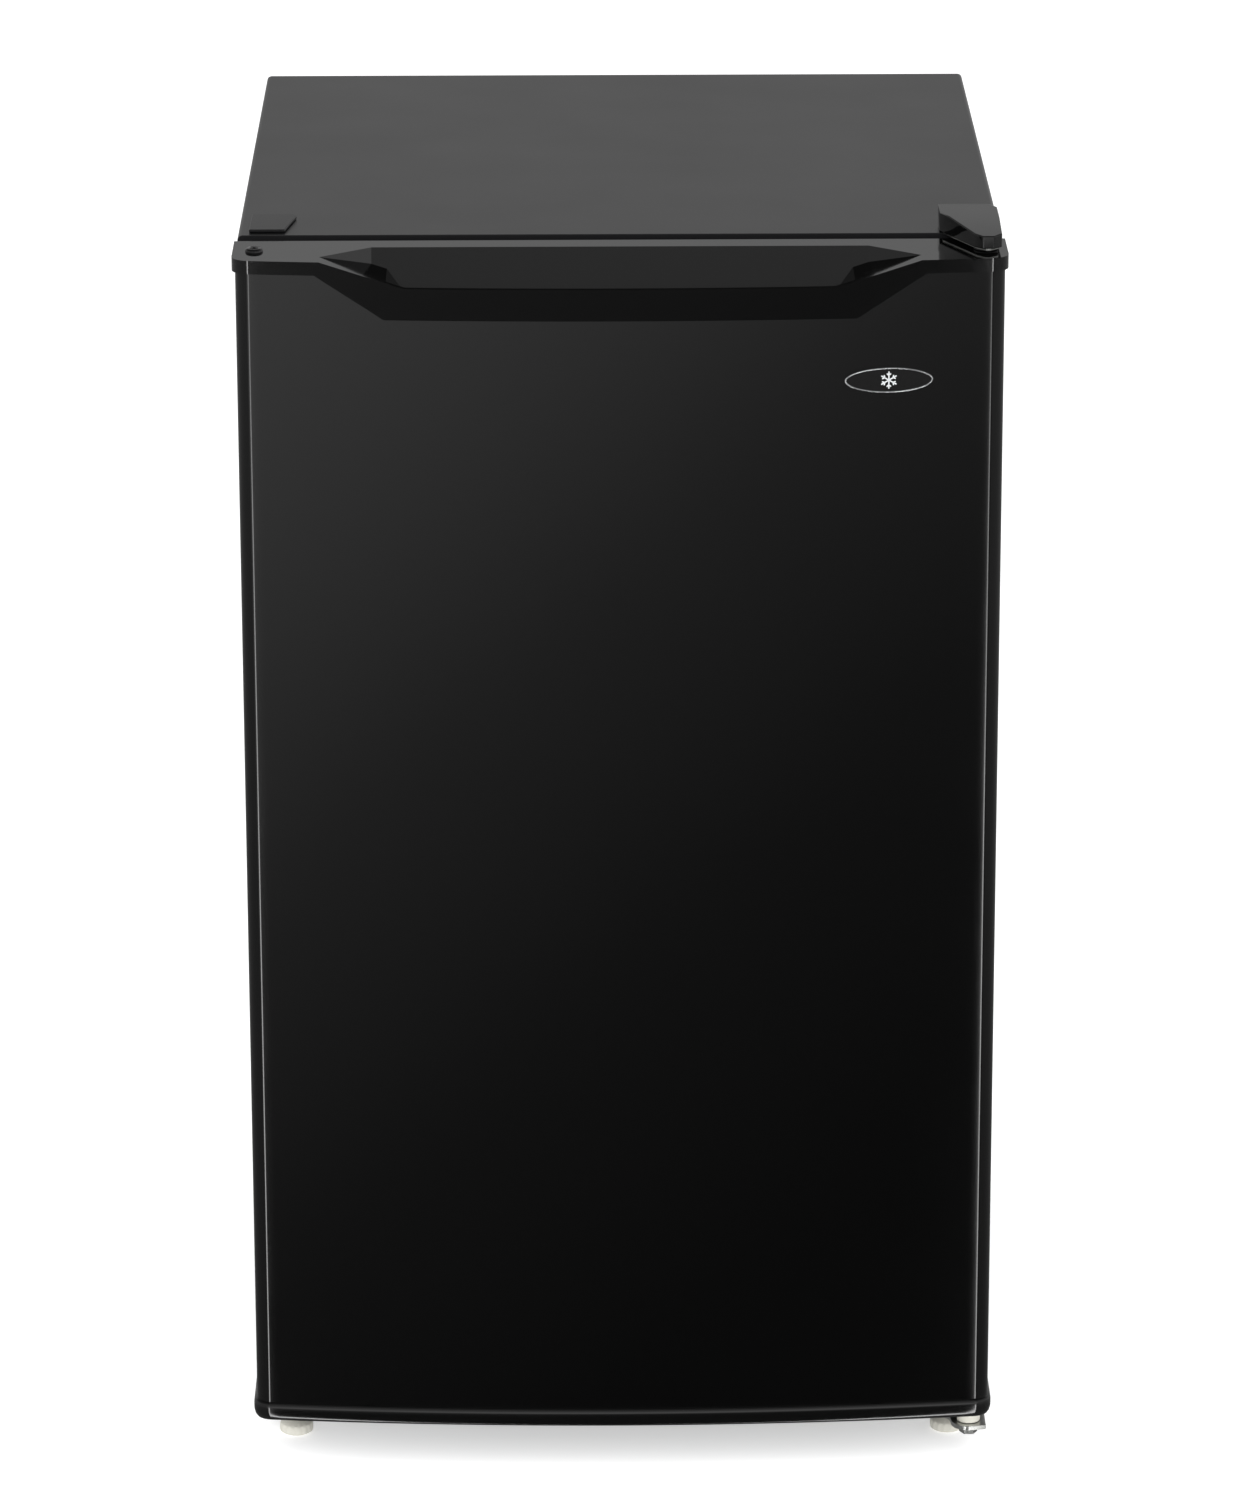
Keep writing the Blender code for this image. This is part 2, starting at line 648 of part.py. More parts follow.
def build_bottom_hinge(zinc, steel, nylon):
    right = SIDE - 0.001
    left = SIDE - 0.052
    reach = HINGE_Y - 0.010
    outline = [(left, FACE + 0.055), (left, FACE), (HINGE_X - 0.012, HINGE_Y + 0.006)]
    outline += arc((HINGE_X, reach + 0.010), 0.0115, math.pi * 1.1, math.pi * 1.5, 4)
    outline += [(right, reach + 0.001), (right, FACE + 0.055)]
    low = PLATE_TOP - LOWER_PLATE
    plate = make("bottom_hinge_plate", prism(outline, low, PLATE_TOP), zinc)
    boolean(plate, rod((HINGE_X, HINGE_Y), PIN_RADIUS + GAP, low - OVER, PLATE_TOP + OVER))
    foot = foot_spots()[1]
    boolean(plate, rod(foot, STUD_RADIUS + 2 * GAP, low - OVER, PLATE_TOP + OVER))
    hexagon = circle((HINGE_X, HINGE_Y), 0.0060, 6)
    pin = make("bottom_hinge_pin", prism(hexagon, low - GAP - 0.005, low - GAP), steel)
    boolean(pin, rod((HINGE_X, HINGE_Y), PIN_RADIUS, low - GAP - 0.0025, DOOR_BOTTOM + PIN_LENGTH), "UNION")
    spacer = ring((HINGE_X, HINGE_Y), PIN_RADIUS + 0.0035, PIN_RADIUS + GAP, PLATE_TOP + GAP,
                  DOOR_BOTTOM - GAP)
    make("bottom_hinge_spacer", spacer, nylon)
    head = [(0, -0.0024), (0.0026, -0.0024), (0.0040, -0.0014), (0.0040, 0), (0, 0)]
    for number, y in enumerate((FACE + 0.014, FACE + 0.046), 1):
        screw = turned(head, (left + 0.010, y, low - GAP), 12)
        make(f"bottom_hinge_screw_{number}", screw, zinc)


def build_front_feet(nylon):
    for (x, y), label in zip(foot_spots(), ("left", "right")):
        stud_top = CABINET_BOTTOM + STUD_INSIDE
        profile = [(0, 0), (FOOT_RADIUS - 0.001, 0), (FOOT_RADIUS, 0.001), (FOOT_RADIUS, FOOT_HEIGHT * 0.6),
                   (FOOT_RADIUS * 0.62, FOOT_HEIGHT), (STUD_RADIUS, FOOT_HEIGHT),
                   (STUD_RADIUS, stud_top - 0.001), (STUD_RADIUS - 0.001, stud_top), (0, stud_top)]
        axis = joint_empty(f"front_foot_{label}_axis", (x, y, 0))
        make(f"front_foot_{label}", turned(profile, (x, y, 0)), nylon, axis, (x, y, 0))


# ---- machinery ---------------------------------------------------------------------------------
def rail_span():
    return BAY_FRONT + 0.010, REAR - 0.004


def build_machinery(zinc, steel, rubber, plastic, copper):
    half = SIDE - SHEET - GAP
    low = CABINET_BOTTOM
    front, back = rail_span()
    lip = 0.012
    outline = [(front, low), (back, low), (back, low + lip), (back - PAN_SHEET, low + lip),
               (back - PAN_SHEET, low + PAN_SHEET), (front + PAN_SHEET, low + PAN_SHEET),
               (front + PAN_SHEET, low + lip), (front, low + lip)]
    make("compressor_rail", prism(outline, -half, half, "X"), zinc)
    for side, label in ((-1, "left"), (1, "right")):
        x = sorted((side * (SIDE - 0.012), side * (SIDE - 0.012 - REAR_FOOT)))
        foot = block(x, (back - 0.004 - REAR_FOOT, back - 0.004), (0, low - GAP))
        make(f"rear_foot_{label}", round_edges(foot, 0.003, along("Z")), rubber)

    middle = (front + back) / 2
    shell_x = 0.020
    deck = low + PAN_SHEET + GAP
    feet_x = COMPRESSOR_WIDTH * 0.46
    feet_y = COMPRESSOR_LENGTH * 0.42
    spots = [(shell_x + a * feet_x, middle + b * feet_y) for a in (-1, 1) for b in (-1, 1)]
    waist = [(0, 0), (0.010, 0), (0.010, 0.004), (0.0075, 0.006), (0.010, 0.008),
             (0.010, GROMMET_HEIGHT), (0, GROMMET_HEIGHT)]
    for number, (x, y) in enumerate(spots, 1):
        make(f"compressor_grommet_{number}", turned(waist, (x, y, deck), 16), rubber)
    foot_low = deck + GROMMET_HEIGHT + GAP
    feet = block((shell_x - feet_x - 0.014, shell_x + feet_x + 0.014),
                 (middle - feet_y - 0.012, middle + feet_y + 0.012), (foot_low, foot_low + 0.003))
    body = make("compressor", round_edges(feet, 0.010, along("Z")), steel)
    height = COMPRESSOR_HEIGHT
    radius = COMPRESSOR_LENGTH / 2
    stretch = COMPRESSOR_WIDTH / COMPRESSOR_LENGTH
    dome = [(0, 0.001)]
    dome += [(radius * 0.70 + x, z) for x, z in arc((0, radius * 0.30), radius * 0.30 - 0.001,
                                                   -math.pi / 2, 0, 4)]
    dome += [(radius - 0.001, height * 0.50), (radius + 0.001, height * 0.50),
             (radius + 0.001, height * 0.54), (radius - 0.001, height * 0.54)]
    dome += [(radius * 0.52 + x, z) for x, z in arc((0, height - radius * 0.48), radius * 0.48 - 0.001,
                                                   0, math.pi / 2, 6)]
    dome += [(0, height - 0.001)]
    boolean(body, turned(dome, (shell_x, middle, foot_low), 28, (stretch, 1)), "UNION")

    side_x = shell_x + COMPRESSOR_WIDTH / 2 + 0.006
    relay_low = foot_low + 0.030
    relay = block((side_x, side_x + 0.038), (middle - 0.030, middle + 0.030),
                  (relay_low, relay_low + 0.062))
    make("relay_cover", round_edges(relay, 0.004, any_edge, 2), plastic)

    drier_x = shell_x - COMPRESSOR_WIDTH / 2 - 0.030
    drier = turned([(0, 0), (TUBE_RADIUS + 0.001, 0), (TUBE_RADIUS + 0.001, 0.008), (0.009, 0.020),
                    (0.009, 0.090), (TUBE_RADIUS + 0.001, 0.102), (TUBE_RADIUS + 0.001, 0.110), (0, 0.110)],
                   (drier_x, BAY_FRONT + 0.040, deck + 0.030), 16)
    make("filter_drier", drier, copper)

    start_x = shell_x - COMPRESSOR_WIDTH / 2 - 0.004
    level = foot_low + height * 0.38
    suction = smooth([(start_x, middle - 0.012, level + 0.018),
                      (start_x - 0.022, middle - 0.012, level + 0.018),
                      (start_x - 0.034, middle - 0.008, level + 0.040),
                      (start_x - 0.040, middle, level + 0.076),
                      (start_x - 0.066, middle - 0.020, level + 0.082),
                      (start_x - 0.080, BAY_FRONT + 0.030, level + 0.070),
                      (start_x - 0.080, BAY_FRONT + 0.004, level + 0.070)])
    tube("suction_tube", suction, TUBE_RADIUS * 1.4, copper)
    discharge = smooth([(start_x, middle + 0.014, level), (start_x - 0.018, middle + 0.016, level),
                        (start_x - 0.050, middle + 0.030, level - 0.010),
                        (start_x - 0.070, middle + 0.044, level + 0.020),
                        (start_x - 0.100, middle + 0.020, level + 0.030),
                        (start_x - 0.108, BAY_FRONT + 0.030, level + 0.020),
                        (start_x - 0.108, BAY_FRONT + 0.004, level + 0.020)])
    tube("discharge_tube", discharge, TUBE_RADIUS, copper)

    gland_y = back - PAN_SHEET - 0.014
    gland = block((SIDE - 0.085, SIDE - 0.063), (gland_y - 0.008, gland_y + 0.008), (deck, deck + 0.020))
    gland = make("cord_gland", round_edges(gland, 0.002, along("Z"), 2), plastic)
    boolean(gland, rod((SIDE - 0.074, deck + 0.011), 0.0038, gland_y - OVER, gland_y + OVER, "Y", 16))


def smooth(points, steps=5):
    """A Catmull-Rom curve through the points."""
    spots = [Vector(p) for p in points]
    spots = [2 * spots[0] - spots[1]] + spots + [2 * spots[-1] - spots[-2]]
    made = []
    for a, b, c, d in zip(spots, spots[1:], spots[2:], spots[3:]):
        for i in range(steps):
            t = i / steps
            made.append(0.5 * (2 * b + (c - a) * t + (2 * a - 5 * b + 4 * c - d) * t ** 2
                               + (3 * b - a - 3 * c + d) * t ** 3))
    return [tuple(p) for p in made + [spots[-2]]]


# ---- inside the cabinet ------------------------------------------------------------------------
def build_freezer(aluminium, plastic):
    back = INNER_BACK - 0.004
    wall = EVAPORATOR_SHEET
    frame_depth = 0.010
    box_front = EVAPORATOR_FRONT + frame_depth + GAP
    half = FREEZER_HALF - 0.004
    top = FREEZER_TOP - 0.004
    floor = FREEZER_FLOOR + 0.004
    box = make("freezer_box", round_edges(block((-half, half), (box_front, back), (floor, top)),
                                          0.008, along("Y")), aluminium)
    inner = block((-half + wall, half - wall), (box_front - OVER, back - wall), (floor + wall, top - wall))
    boolean(box, round_edges(inner, 0.0065, along("Y")))

    frame_half = INNER_SIDE - 0.001
    plate = block((-frame_half, frame_half), (EVAPORATOR_FRONT, EVAPORATOR_FRONT + frame_depth),
                  (FREEZER_FLOOR - 0.002, FREEZER_TOP + 0.003))
    frame = make("freezer_frame", plate, plastic)
    rim = 0.004
    opening = half - rim
    boolean(frame, block((-opening, opening), (EVAPORATOR_FRONT - OVER, EVAPORATOR_FRONT + OVER * 2),
                         (floor + rim, FLAP_AXIS_Z - EAR_DROP)))
    ear_outer = frame_half
    ear_inner = FREEZER_HALF + 0.002
    ears = [block(sorted((side * ear_inner, side * ear_outer)),
                  (FLAP_AXIS_Y - 0.006, EVAPORATOR_FRONT + frame_depth / 2),
                  (FLAP_AXIS_Z - EAR_DROP, FREEZER_TOP + 0.002)) for side in (-1, 1)]
    boolean(frame, together(*ears), "UNION")
    holes = rod((FLAP_AXIS_Y, FLAP_AXIS_Z), FLAP_PIN + GAP, -SIDE, SIDE, "X", 16)
    boolean(frame, holes)

    axis_place = (0, FLAP_AXIS_Y, FLAP_AXIS_Z)
    axis = joint_empty("freezer_flap_axis", axis_place)
    panel = block((-FREEZER_HALF, FREEZER_HALF), (FLAP_FRONT, FLAP_FRONT + FLAP_THICKNESS),
                  (FREEZER_FLOOR, FREEZER_TOP))
    flap = make("freezer_flap", round_edges(panel, 0.0025, any_edge, 2), plastic, axis, axis_place)
    hollow = block((-FREEZER_HALF + 0.004, FREEZER_HALF - 0.004),
                   (FLAP_FRONT + 0.003, FLAP_FRONT + FLAP_THICKNESS + OVER),
                   (FREEZER_FLOOR + 0.004, FREEZER_TOP - FLAP_THICKNESS))
    boolean(flap, hollow)
    grip = block((-0.045, 0.045), (FLAP_FRONT - OVER, FLAP_FRONT + 0.002),
                 (FREEZER_FLOOR + 0.010, FREEZER_FLOOR + 0.026))
    boolean(flap, grip)
    pin_reach = ear_outer - 0.002
    pins = [rod((FLAP_AXIS_Y, FLAP_AXIS_Z), FLAP_PIN,
                *sorted((side * (FREEZER_HALF - 0.003), side * pin_reach)),
                "X", 16) for side in (-1, 1)]
    boolean(flap, together(*pins), "UNION")


def open_box(name, x, y, z, wall, corner, surface, parent=None):
    """A tray or bin, open at its top."""
    body = round_edges(block(x, y, z), corner, along("Z"))
    tray = make(name, body, surface, parent)
    hollow = block((x[0] + wall, x[1] - wall), (y[0] + wall, y[1] - wall), (z[0] + wall, z[1] + OVER))
    return boolean(tray, round_edges(hollow, corner - wall, along("Z")))


def build_inside(glass, clear, plastic):
    tray_half = INNER_SIDE - 0.006
    open_box("drip_tray", (-tray_half, tray_half), (EVAPORATOR_FRONT - 0.012, INNER_BACK - 0.016),
             (TRAY_FLOOR, TRAY_TOP), 0.0025, 0.008, clear)
    shelf_half = INNER_SIDE - 0.001
    front = FACE + SHELF_FRONT
    back = INNER_BACK - 0.016
    for level, label in zip(shelf_levels(), ("lower", "upper")):
        low = level + GAP
        pane = block((-shelf_half, shelf_half), (front + 0.004, back - 0.004), (low, low + GLASS))
        make(f"shelf_{label}_glass", round_edges(pane, 0.0008, any_edge, 1), glass)
        trim = block((-shelf_half, shelf_half), (front - 0.001, front + 0.004 - GAP),
                     (low, low + GLASS + 0.004))
        make(f"shelf_{label}_trim", round_edges(trim, 0.001, along("X"), 2), plastic)
    level = crisper_level() + GAP
    cover = block((-shelf_half, shelf_half), (front, STEP_FRONT - 0.002), (level, level + GLASS))
    make("crisper_cover", round_edges(cover, LINER_CORNER, along("Z"), 4), glass)
    corner = LINER_CORNER + 0.001
    drawer_half = INNER_SIDE - corner
    open_box("crisper_drawer", (-drawer_half, drawer_half), (FACE + CRISPER_FRONT, STEP_FRONT - corner),
             (INNER_FLOOR + GAP, crisper_level() - RIB_HEIGHT - 0.006), BIN_WALL, LINER_CORNER + 0.004, clear)


def stat_centre():
    x = INNER_SIDE - 0.001 - STAT_WIDTH / 2
    z = TRAY_FLOOR - 0.004 - STAT_HEIGHT / 2
    return x, FACE + FREEZER_BACK_SET + 0.030, z


def build_thermostat(plastic, grey, red):
    x, front, z = stat_centre()
    half = STAT_WIDTH / 2
    body = block((x - half, x + half), (front, front + STAT_DEPTH),
                 (z - STAT_HEIGHT / 2, z + STAT_HEIGHT / 2))
    housing = make("thermostat_housing", round_edges(body, 0.004, any_edge, 2), plastic)
    boolean(housing, rod((x, z), BUTTON_RADIUS - 0.001, front - OVER, front + 0.010, "Y"))
    axis = joint_empty("thermostat_axis", (x, front, z))
    knob_back = front - GAP
    knob_front = knob_back - KNOB_LENGTH
    knob = ring((x, z), KNOB_RADIUS, BUTTON_RADIUS + GAP, knob_front, knob_back, "Y", 32)
    knob = make("thermostat_knob", knob, grey, axis, (x, front, z))
    slot = block((x - 0.0009, x + 0.0009), (knob_front - OVER, knob_front + 0.0012),
                 (z + KNOB_RADIUS * 0.55, z + KNOB_RADIUS + OVER))
    boolean(knob, slot)
    button_back = knob_back - BUTTON_TRAVEL - 2 * GAP
    button = rod((x, z), BUTTON_RADIUS, knob_front - BUTTON_PROUD, button_back, "Y")
    make("defrost_button", button, red, axis, (x, front, z))


# ---- door --------------------------------------------------------------------------------------
def trapezoid(top_half, top, bottom_half, bottom, grow=0.0):
    return [(-top_half - grow, top), (-bottom_half - grow, bottom - grow),
            (bottom_half + grow, bottom - grow), (top_half + grow, top)]


def handle_front(grow=0.0):
    """The block that hangs down over the door skin's front: the lip and its sloping ends."""
    skirt = DOOR_TOP - TOP_CAP_SKIRT
    slope = (HANDLE_TOP_HALF - HANDLE_BOTTOM_HALF) / (HANDLE_DROP - TOP_CAP_SKIRT)
    rise = TOP_CAP_SKIRT - CAP_WALL / 2
    points = trapezoid(HANDLE_TOP_HALF + slope * rise, skirt + rise, HANDLE_BOTTOM_HALF,
                       DOOR_TOP - HANDLE_DROP, grow)
    back = DOOR_BACK - STRIP_DEPTH + WELL_WALL + grow
    return prism(points, DOOR_FRONT - OVER, back, "Y")


def handle_well(wall=0.0):
    """The finger pocket behind the lip, or with a wall the housing round it."""
    top = DOOR_TOP + (OVER if wall == 0 else -0.001)
    slope = (WELL_TOP_HALF - WELL_BOTTOM_HALF) / WELL_DEPTH
    points = trapezoid(WELL_TOP_HALF + slope * (top - DOOR_TOP) + wall, top,
                       WELL_BOTTOM_HALF + wall, DOOR_TOP - WELL_DEPTH - wall)
    return prism(points, DOOR_FRONT - OVER, DOOR_BACK - STRIP_DEPTH + wall, "Y")


def clipped(name, bm, inset, low, high):
    """A working shape kept to the door's plan."""
    shape = make(name, bm, None)
    shape.hide_render = True
    shape.display_type = "WIRE"
    boolean(shape, prism(door_outline(inset, 0.001), low, high), "INTERSECT")
    return shape


def use_tool(obj, tool, operation):
    modifier = obj.modifiers.new(f"{operation.lower()}_{tool.name}", "BOOLEAN")
    modifier.operation = operation
    modifier.solver = "EXACT"
    modifier.object = tool
    return obj


def handle_notch():
    """The shallow trapezoid cut over the lip, running back in plan to the pocket's rear corners."""
    slope = (NOTCH_TOP_HALF - NOTCH_BOTTOM_HALF) / LIP_DROP
    front = trapezoid(NOTCH_TOP_HALF + slope * NOTCH_OVER, DOOR_TOP + NOTCH_OVER,
                      NOTCH_BOTTOM_HALF, DOOR_TOP - LIP_DROP)
    notch = make("handle_notch_shape", prism(front, DOOR_FRONT - OVER, DOOR_BACK, "Y"), None)
    notch.hide_render = True
    notch.display_type = "WIRE"
    strip = DOOR_BACK - STRIP_DEPTH
    strip_end = DOOR_BACK - STRIP_END_DEPTH
    lean = (NOTCH_TOP_HALF - WELL_TOP_HALF) / (strip - strip_end)
    wide = NOTCH_TOP_HALF + lean * (strip_end - DOOR_FRONT + OVER)
    plan = [(-WELL_TOP_HALF, strip), (-wide, DOOR_FRONT - OVER),
            (wide, DOOR_FRONT - OVER), (WELL_TOP_HALF, strip)]
    return boolean(notch, prism(plan, DOOR_TOP - WELL_DEPTH - OVER, DOOR_TOP + OVER), "INTERSECT")


def build_top_cap(gloss, axis):
    """The glossy cap with the pocket handle moulded in."""
    skirt = DOOR_TOP - TOP_CAP_SKIRT
    cap = make("door_top_cap", prism(door_outline(), skirt, DOOR_TOP), gloss, axis,
               (HINGE_X, HINGE_Y, DOOR_TOP))
    boolean(cap, prism(door_outline(PANEL_INSET - GAP, CAP_WALL), skirt - OVER, DOOR_TOP - CAP_WALL))
    low = DOOR_TOP - WELL_DEPTH - OVER
    front = clipped("handle_front_shape", handle_front(), 0.0, low, DOOR_TOP - 0.0005)
    use_tool(cap, front, "UNION")
    housing_inset = PANEL_INSET + DOOR_SKIN + 2 * GAP
    housing = clipped("handle_housing_shape", handle_well(WELL_WALL), housing_inset, low, DOOR_TOP - 0.001)
    use_tool(cap, housing, "UNION")
    well = clipped("handle_well_shape", handle_well(), LIP_THICKNESS, low, DOOR_TOP + OVER)
    use_tool(cap, well, "DIFFERENCE")
    use_tool(cap, handle_notch(), "DIFFERENCE")
    sleeve = (DOOR_TOP - PIN_LENGTH - 0.002, DOOR_TOP - CAP_WALL / 2)
    boolean(cap, rod((HINGE_X, HINGE_Y), PIN_RADIUS + BUSH_WALL, *sleeve), "UNION")
    boolean(cap, rod((HINGE_X, HINGE_Y), PIN_RADIUS + GAP, DOOR_TOP - PIN_LENGTH - OVER, DOOR_TOP + OVER))
    return boolean(cap, rod((-HINGE_X, HINGE_Y), PIN_RADIUS + GAP, DOOR_TOP - OVER, DOOR_TOP + OVER))


def build_bottom_cap(gloss, axis):
    skirt = DOOR_BOTTOM + BOTTOM_CAP_SKIRT
    cap = make("door_bottom_cap", prism(door_outline(), DOOR_BOTTOM, skirt), gloss, axis,
               (HINGE_X, HINGE_Y, DOOR_BOTTOM))
    boolean(cap, prism(door_outline(PANEL_INSET - GAP, CAP_WALL), DOOR_BOTTOM + CAP_WALL, skirt + OVER))
    return boolean(cap, rod((HINGE_X, HINGE_Y), PIN_RADIUS + GAP, DOOR_BOTTOM - OVER, DOOR_BOTTOM + OVER))


def handle_cutters():
    """The space that the top cap's handle takes out of the skin and the foam."""
    low = DOOR_TOP - WELL_DEPTH - 2 * OVER
    front = clipped("handle_front_room", handle_front(GAP), -OVER, low, DOOR_TOP)
    housing = clipped("handle_housing_room", handle_well(WELL_WALL + GAP), PANEL_INSET + DOOR_SKIN + GAP,
                      low, DOOR_TOP + OVER)
    return front, housing


def build_door_panel(paint, axis, front_room):
    outer = door_outline(PANEL_INSET, CAP_WALL + GAP)
    panel = make("door_panel", prism(outer, PANEL_BOTTOM, PANEL_TOP), paint, axis,
                 (HINGE_X, HINGE_Y, PANEL_BOTTOM))
    inner = door_outline(PANEL_INSET + DOOR_SKIN, CAP_WALL + GAP + DOOR_SKIN)
    boolean(panel, prism(inner, PANEL_BOTTOM - OVER, PANEL_TOP + OVER))
    half = DOOR_WIDTH / 2 - PANEL_INSET - PANEL_RETURN
    boolean(panel, block((-half, half), (DOOR_BACK - 0.008, DOOR_BACK + OVER),
                         (PANEL_BOTTOM - OVER, PANEL_TOP + OVER)))
    return use_tool(panel, front_room, "DIFFERENCE")


def liner_back():
    return DOOR_BACK - CAP_WALL - GAP


def build_door_foam(foam, axis, front_room, housing_room):
    inset = PANEL_INSET + DOOR_SKIN + GAP
    behind = CAP_WALL + LINER_WALL + 2 * GAP
    filling = prism(door_outline(inset, behind), DOOR_BOTTOM + CAP_WALL + GAP, DOOR_TOP - CAP_WALL - GAP)
    body = make("door_foam", filling, foam, axis, (HINGE_X, HINGE_Y, DOOR_BOTTOM))
    grow = LINER_WALL + GAP
    boolean(body, block((-DYKE_INNER - grow, DYKE_INNER + grow), (PAN_FRONT - grow, DOOR_BACK + OVER),
                        (DYKE_FLOOR + DYKE_WIDTH - grow, DYKE_TOP - DYKE_WIDTH / 2 + grow)))
    use_tool(body, front_room, "DIFFERENCE")
    use_tool(body, housing_room, "DIFFERENCE")
    radius = PIN_RADIUS + BUSH_WALL + 2 * GAP
    boolean(body, rod((HINGE_X, HINGE_Y), radius, DOOR_TOP - PIN_LENGTH - 0.004, DOOR_TOP + OVER))
    boolean(body, rod((-HINGE_X, HINGE_Y), PIN_RADIUS + GAP, DOOR_TOP - PIN_LENGTH, DOOR_TOP + OVER))
    lower = rod((HINGE_X, HINGE_Y), radius, DOOR_BOTTOM - OVER, DOOR_BOTTOM + PIN_LENGTH + 0.004)
    return boolean(body, lower)


def dyke_outline(inset):
    """Side view of the liner's side walls: deep beside the bins, shallow by the freezer."""
    deep = FACE + DYKE_REACH - inset
    shallow = FACE + SHALLOW_REACH - inset
    start = liner_back() - LINER_WALL / 2 if inset == 0 else liner_back() - LINER_WALL - OVER
    return [(start, DYKE_FLOOR + inset), (deep, DYKE_FLOOR + inset), (deep, DYKE_CHANGE - DYKE_SLOPE - inset),
            (shallow, DYKE_CHANGE - inset), (shallow, DYKE_TOP - inset), (start, DYKE_TOP - inset)]


def build_door_liner(plastic, axis):
    back = liner_back()
    half = DOOR_WIDTH / 2 - PANEL_INSET - PANEL_RETURN - GAP
    plate = block((-half, half), (back - LINER_WALL, back), (PANEL_BOTTOM, PANEL_TOP))
    liner = make("door_liner", plate, plastic, axis, (HINGE_X, HINGE_Y, DOOR_BOTTOM))
    pan = LINER_WALL
    floor_top = BOTTLE_FLOOR
    ceiling = DYKE_TOP - DYKE_WIDTH / 2
    boolean(liner, block((-DYKE_INNER - pan, DYKE_INNER + pan), (PAN_FRONT - pan, back - LINER_WALL / 2),
                         (floor_top - pan, ceiling + pan)), "UNION")
    boolean(liner, prism(dyke_outline(0), -DYKE_OUTER, DYKE_OUTER, "X"), "UNION")
    boolean(liner, block((-DYKE_INNER, DYKE_INNER), (PAN_FRONT, FACE + DYKE_REACH + OVER),
                         (floor_top, ceiling)))
    hollows = []
    for side in (-1, 1):
        x = sorted((side * (DYKE_INNER + pan), side * (DYKE_OUTER - pan)))
        hollows.append(prism(dyke_outline(pan), x[0], x[1], "X"))
    boolean(liner, together(*hollows))
    under = block((-DYKE_INNER + pan, DYKE_INNER - pan),
                  (back - LINER_WALL - OVER, FACE + DYKE_REACH - pan),
                  (DYKE_FLOOR + pan, floor_top - pan - GAP))
    return boolean(liner, under)


def build_gasket(rubber, axis):
    outer = DOOR_WIDTH / 2 - PANEL_INSET - PANEL_RETURN
    low = DOOR_BOTTOM + BOTTOM_CAP_SKIRT + GAP
    high = DOOR_TOP - TOP_CAP_SKIRT - 0.005
    width = GASKET_WIDTH
    y = (liner_back() + GAP, FACE - 0.0004)
    seal = make("door_gasket", round_edges(block((-outer, outer), y, (low, high)), 0.003, along("Y"), 2),
                rubber, axis, (HINGE_X, HINGE_Y, low))
    return boolean(seal, block((-outer + width, outer - width), (y[0] - OVER, y[1] + OVER),
                               (low + width, high - width)))


def build_door_fittings(nylon, gloss, chrome, clear, axis):
    spot = (HINGE_X, HINGE_Y)
    low = DOOR_BOTTOM + CAP_WALL + GAP
    bush = ring(spot, PIN_RADIUS + BUSH_WALL, PIN_RADIUS + GAP, low, DOOR_BOTTOM + PIN_LENGTH + 0.002)
    make("door_bush_bottom", bush, nylon, axis, (*spot, low))

    head = DOOR_TOP + GAP
    profile = [(0, -0.012), (PIN_RADIUS - GAP, -0.012), (PIN_RADIUS - GAP, 0), (PLUG_RADIUS, 0),
               (PLUG_RADIUS, 0.0008), (PLUG_RADIUS - 0.0012, 0.0018), (0, 0.0018)]
    place = (-HINGE_X, HINGE_Y, head)
    make("hinge_hole_plug", turned(profile, place), gloss, axis, place)

    badge_x = DOOR_WIDTH / 2 - BADGE_IN
    badge_z = DOOR_TOP - BADGE_DROP
    face_y = door_front(badge_x) + PANEL_INSET
    turn = math.asin(badge_x / BOW_RADIUS)
    oval = [(badge_x + BADGE_HALF_WIDTH * math.cos(t), badge_z + BADGE_HALF_HEIGHT * math.sin(t))
            for t in (2 * math.pi * i / 40 for i in range(40))]
    inner = [(badge_x + (x - badge_x) * 0.955, badge_z + (z - badge_z) * 0.86) for x, z in oval]
    place = (badge_x, face_y, badge_z)
    back = face_y - GAP
    ring_body = turn_about(prism(oval, back - 0.0016, back, "Y"), place, turn)
    hole = turn_about(prism(inner, back - OVER, back + OVER, "Y"), place, turn)
    boolean(make("badge_ring", ring_body, chrome, axis, place), hole)
    smaller = [(badge_x + (x - badge_x) * 0.935, badge_z + (z - badge_z) * 0.80) for x, z in oval]
    plate = turn_about(prism(smaller, back - 0.0009, back, "Y"), place, turn)
    make("badge_plate", plate, gloss, axis, place)

    bin_half = DYKE_INNER - 0.0015
    for level, label in zip(bin_levels(), ("middle", "upper")):
        open_box(f"door_bin_{label}", (-bin_half, bin_half), (PAN_FRONT + 0.002, FACE + DYKE_REACH + 0.004),
                 (level, level + BIN_HEIGHT), BIN_FLOOR, 0.006, clear, axis)
    rail = block((-bin_half, bin_half), (FACE + DYKE_REACH - 0.004, FACE + DYKE_REACH + 0.004),
                 (BOTTLE_FLOOR + RAIL_LIFT, BOTTLE_FLOOR + RAIL_LIFT + RAIL_HEIGHT))
    make("bottle_rail", round_edges(rail, 0.003, along("X"), 2), clear, axis)


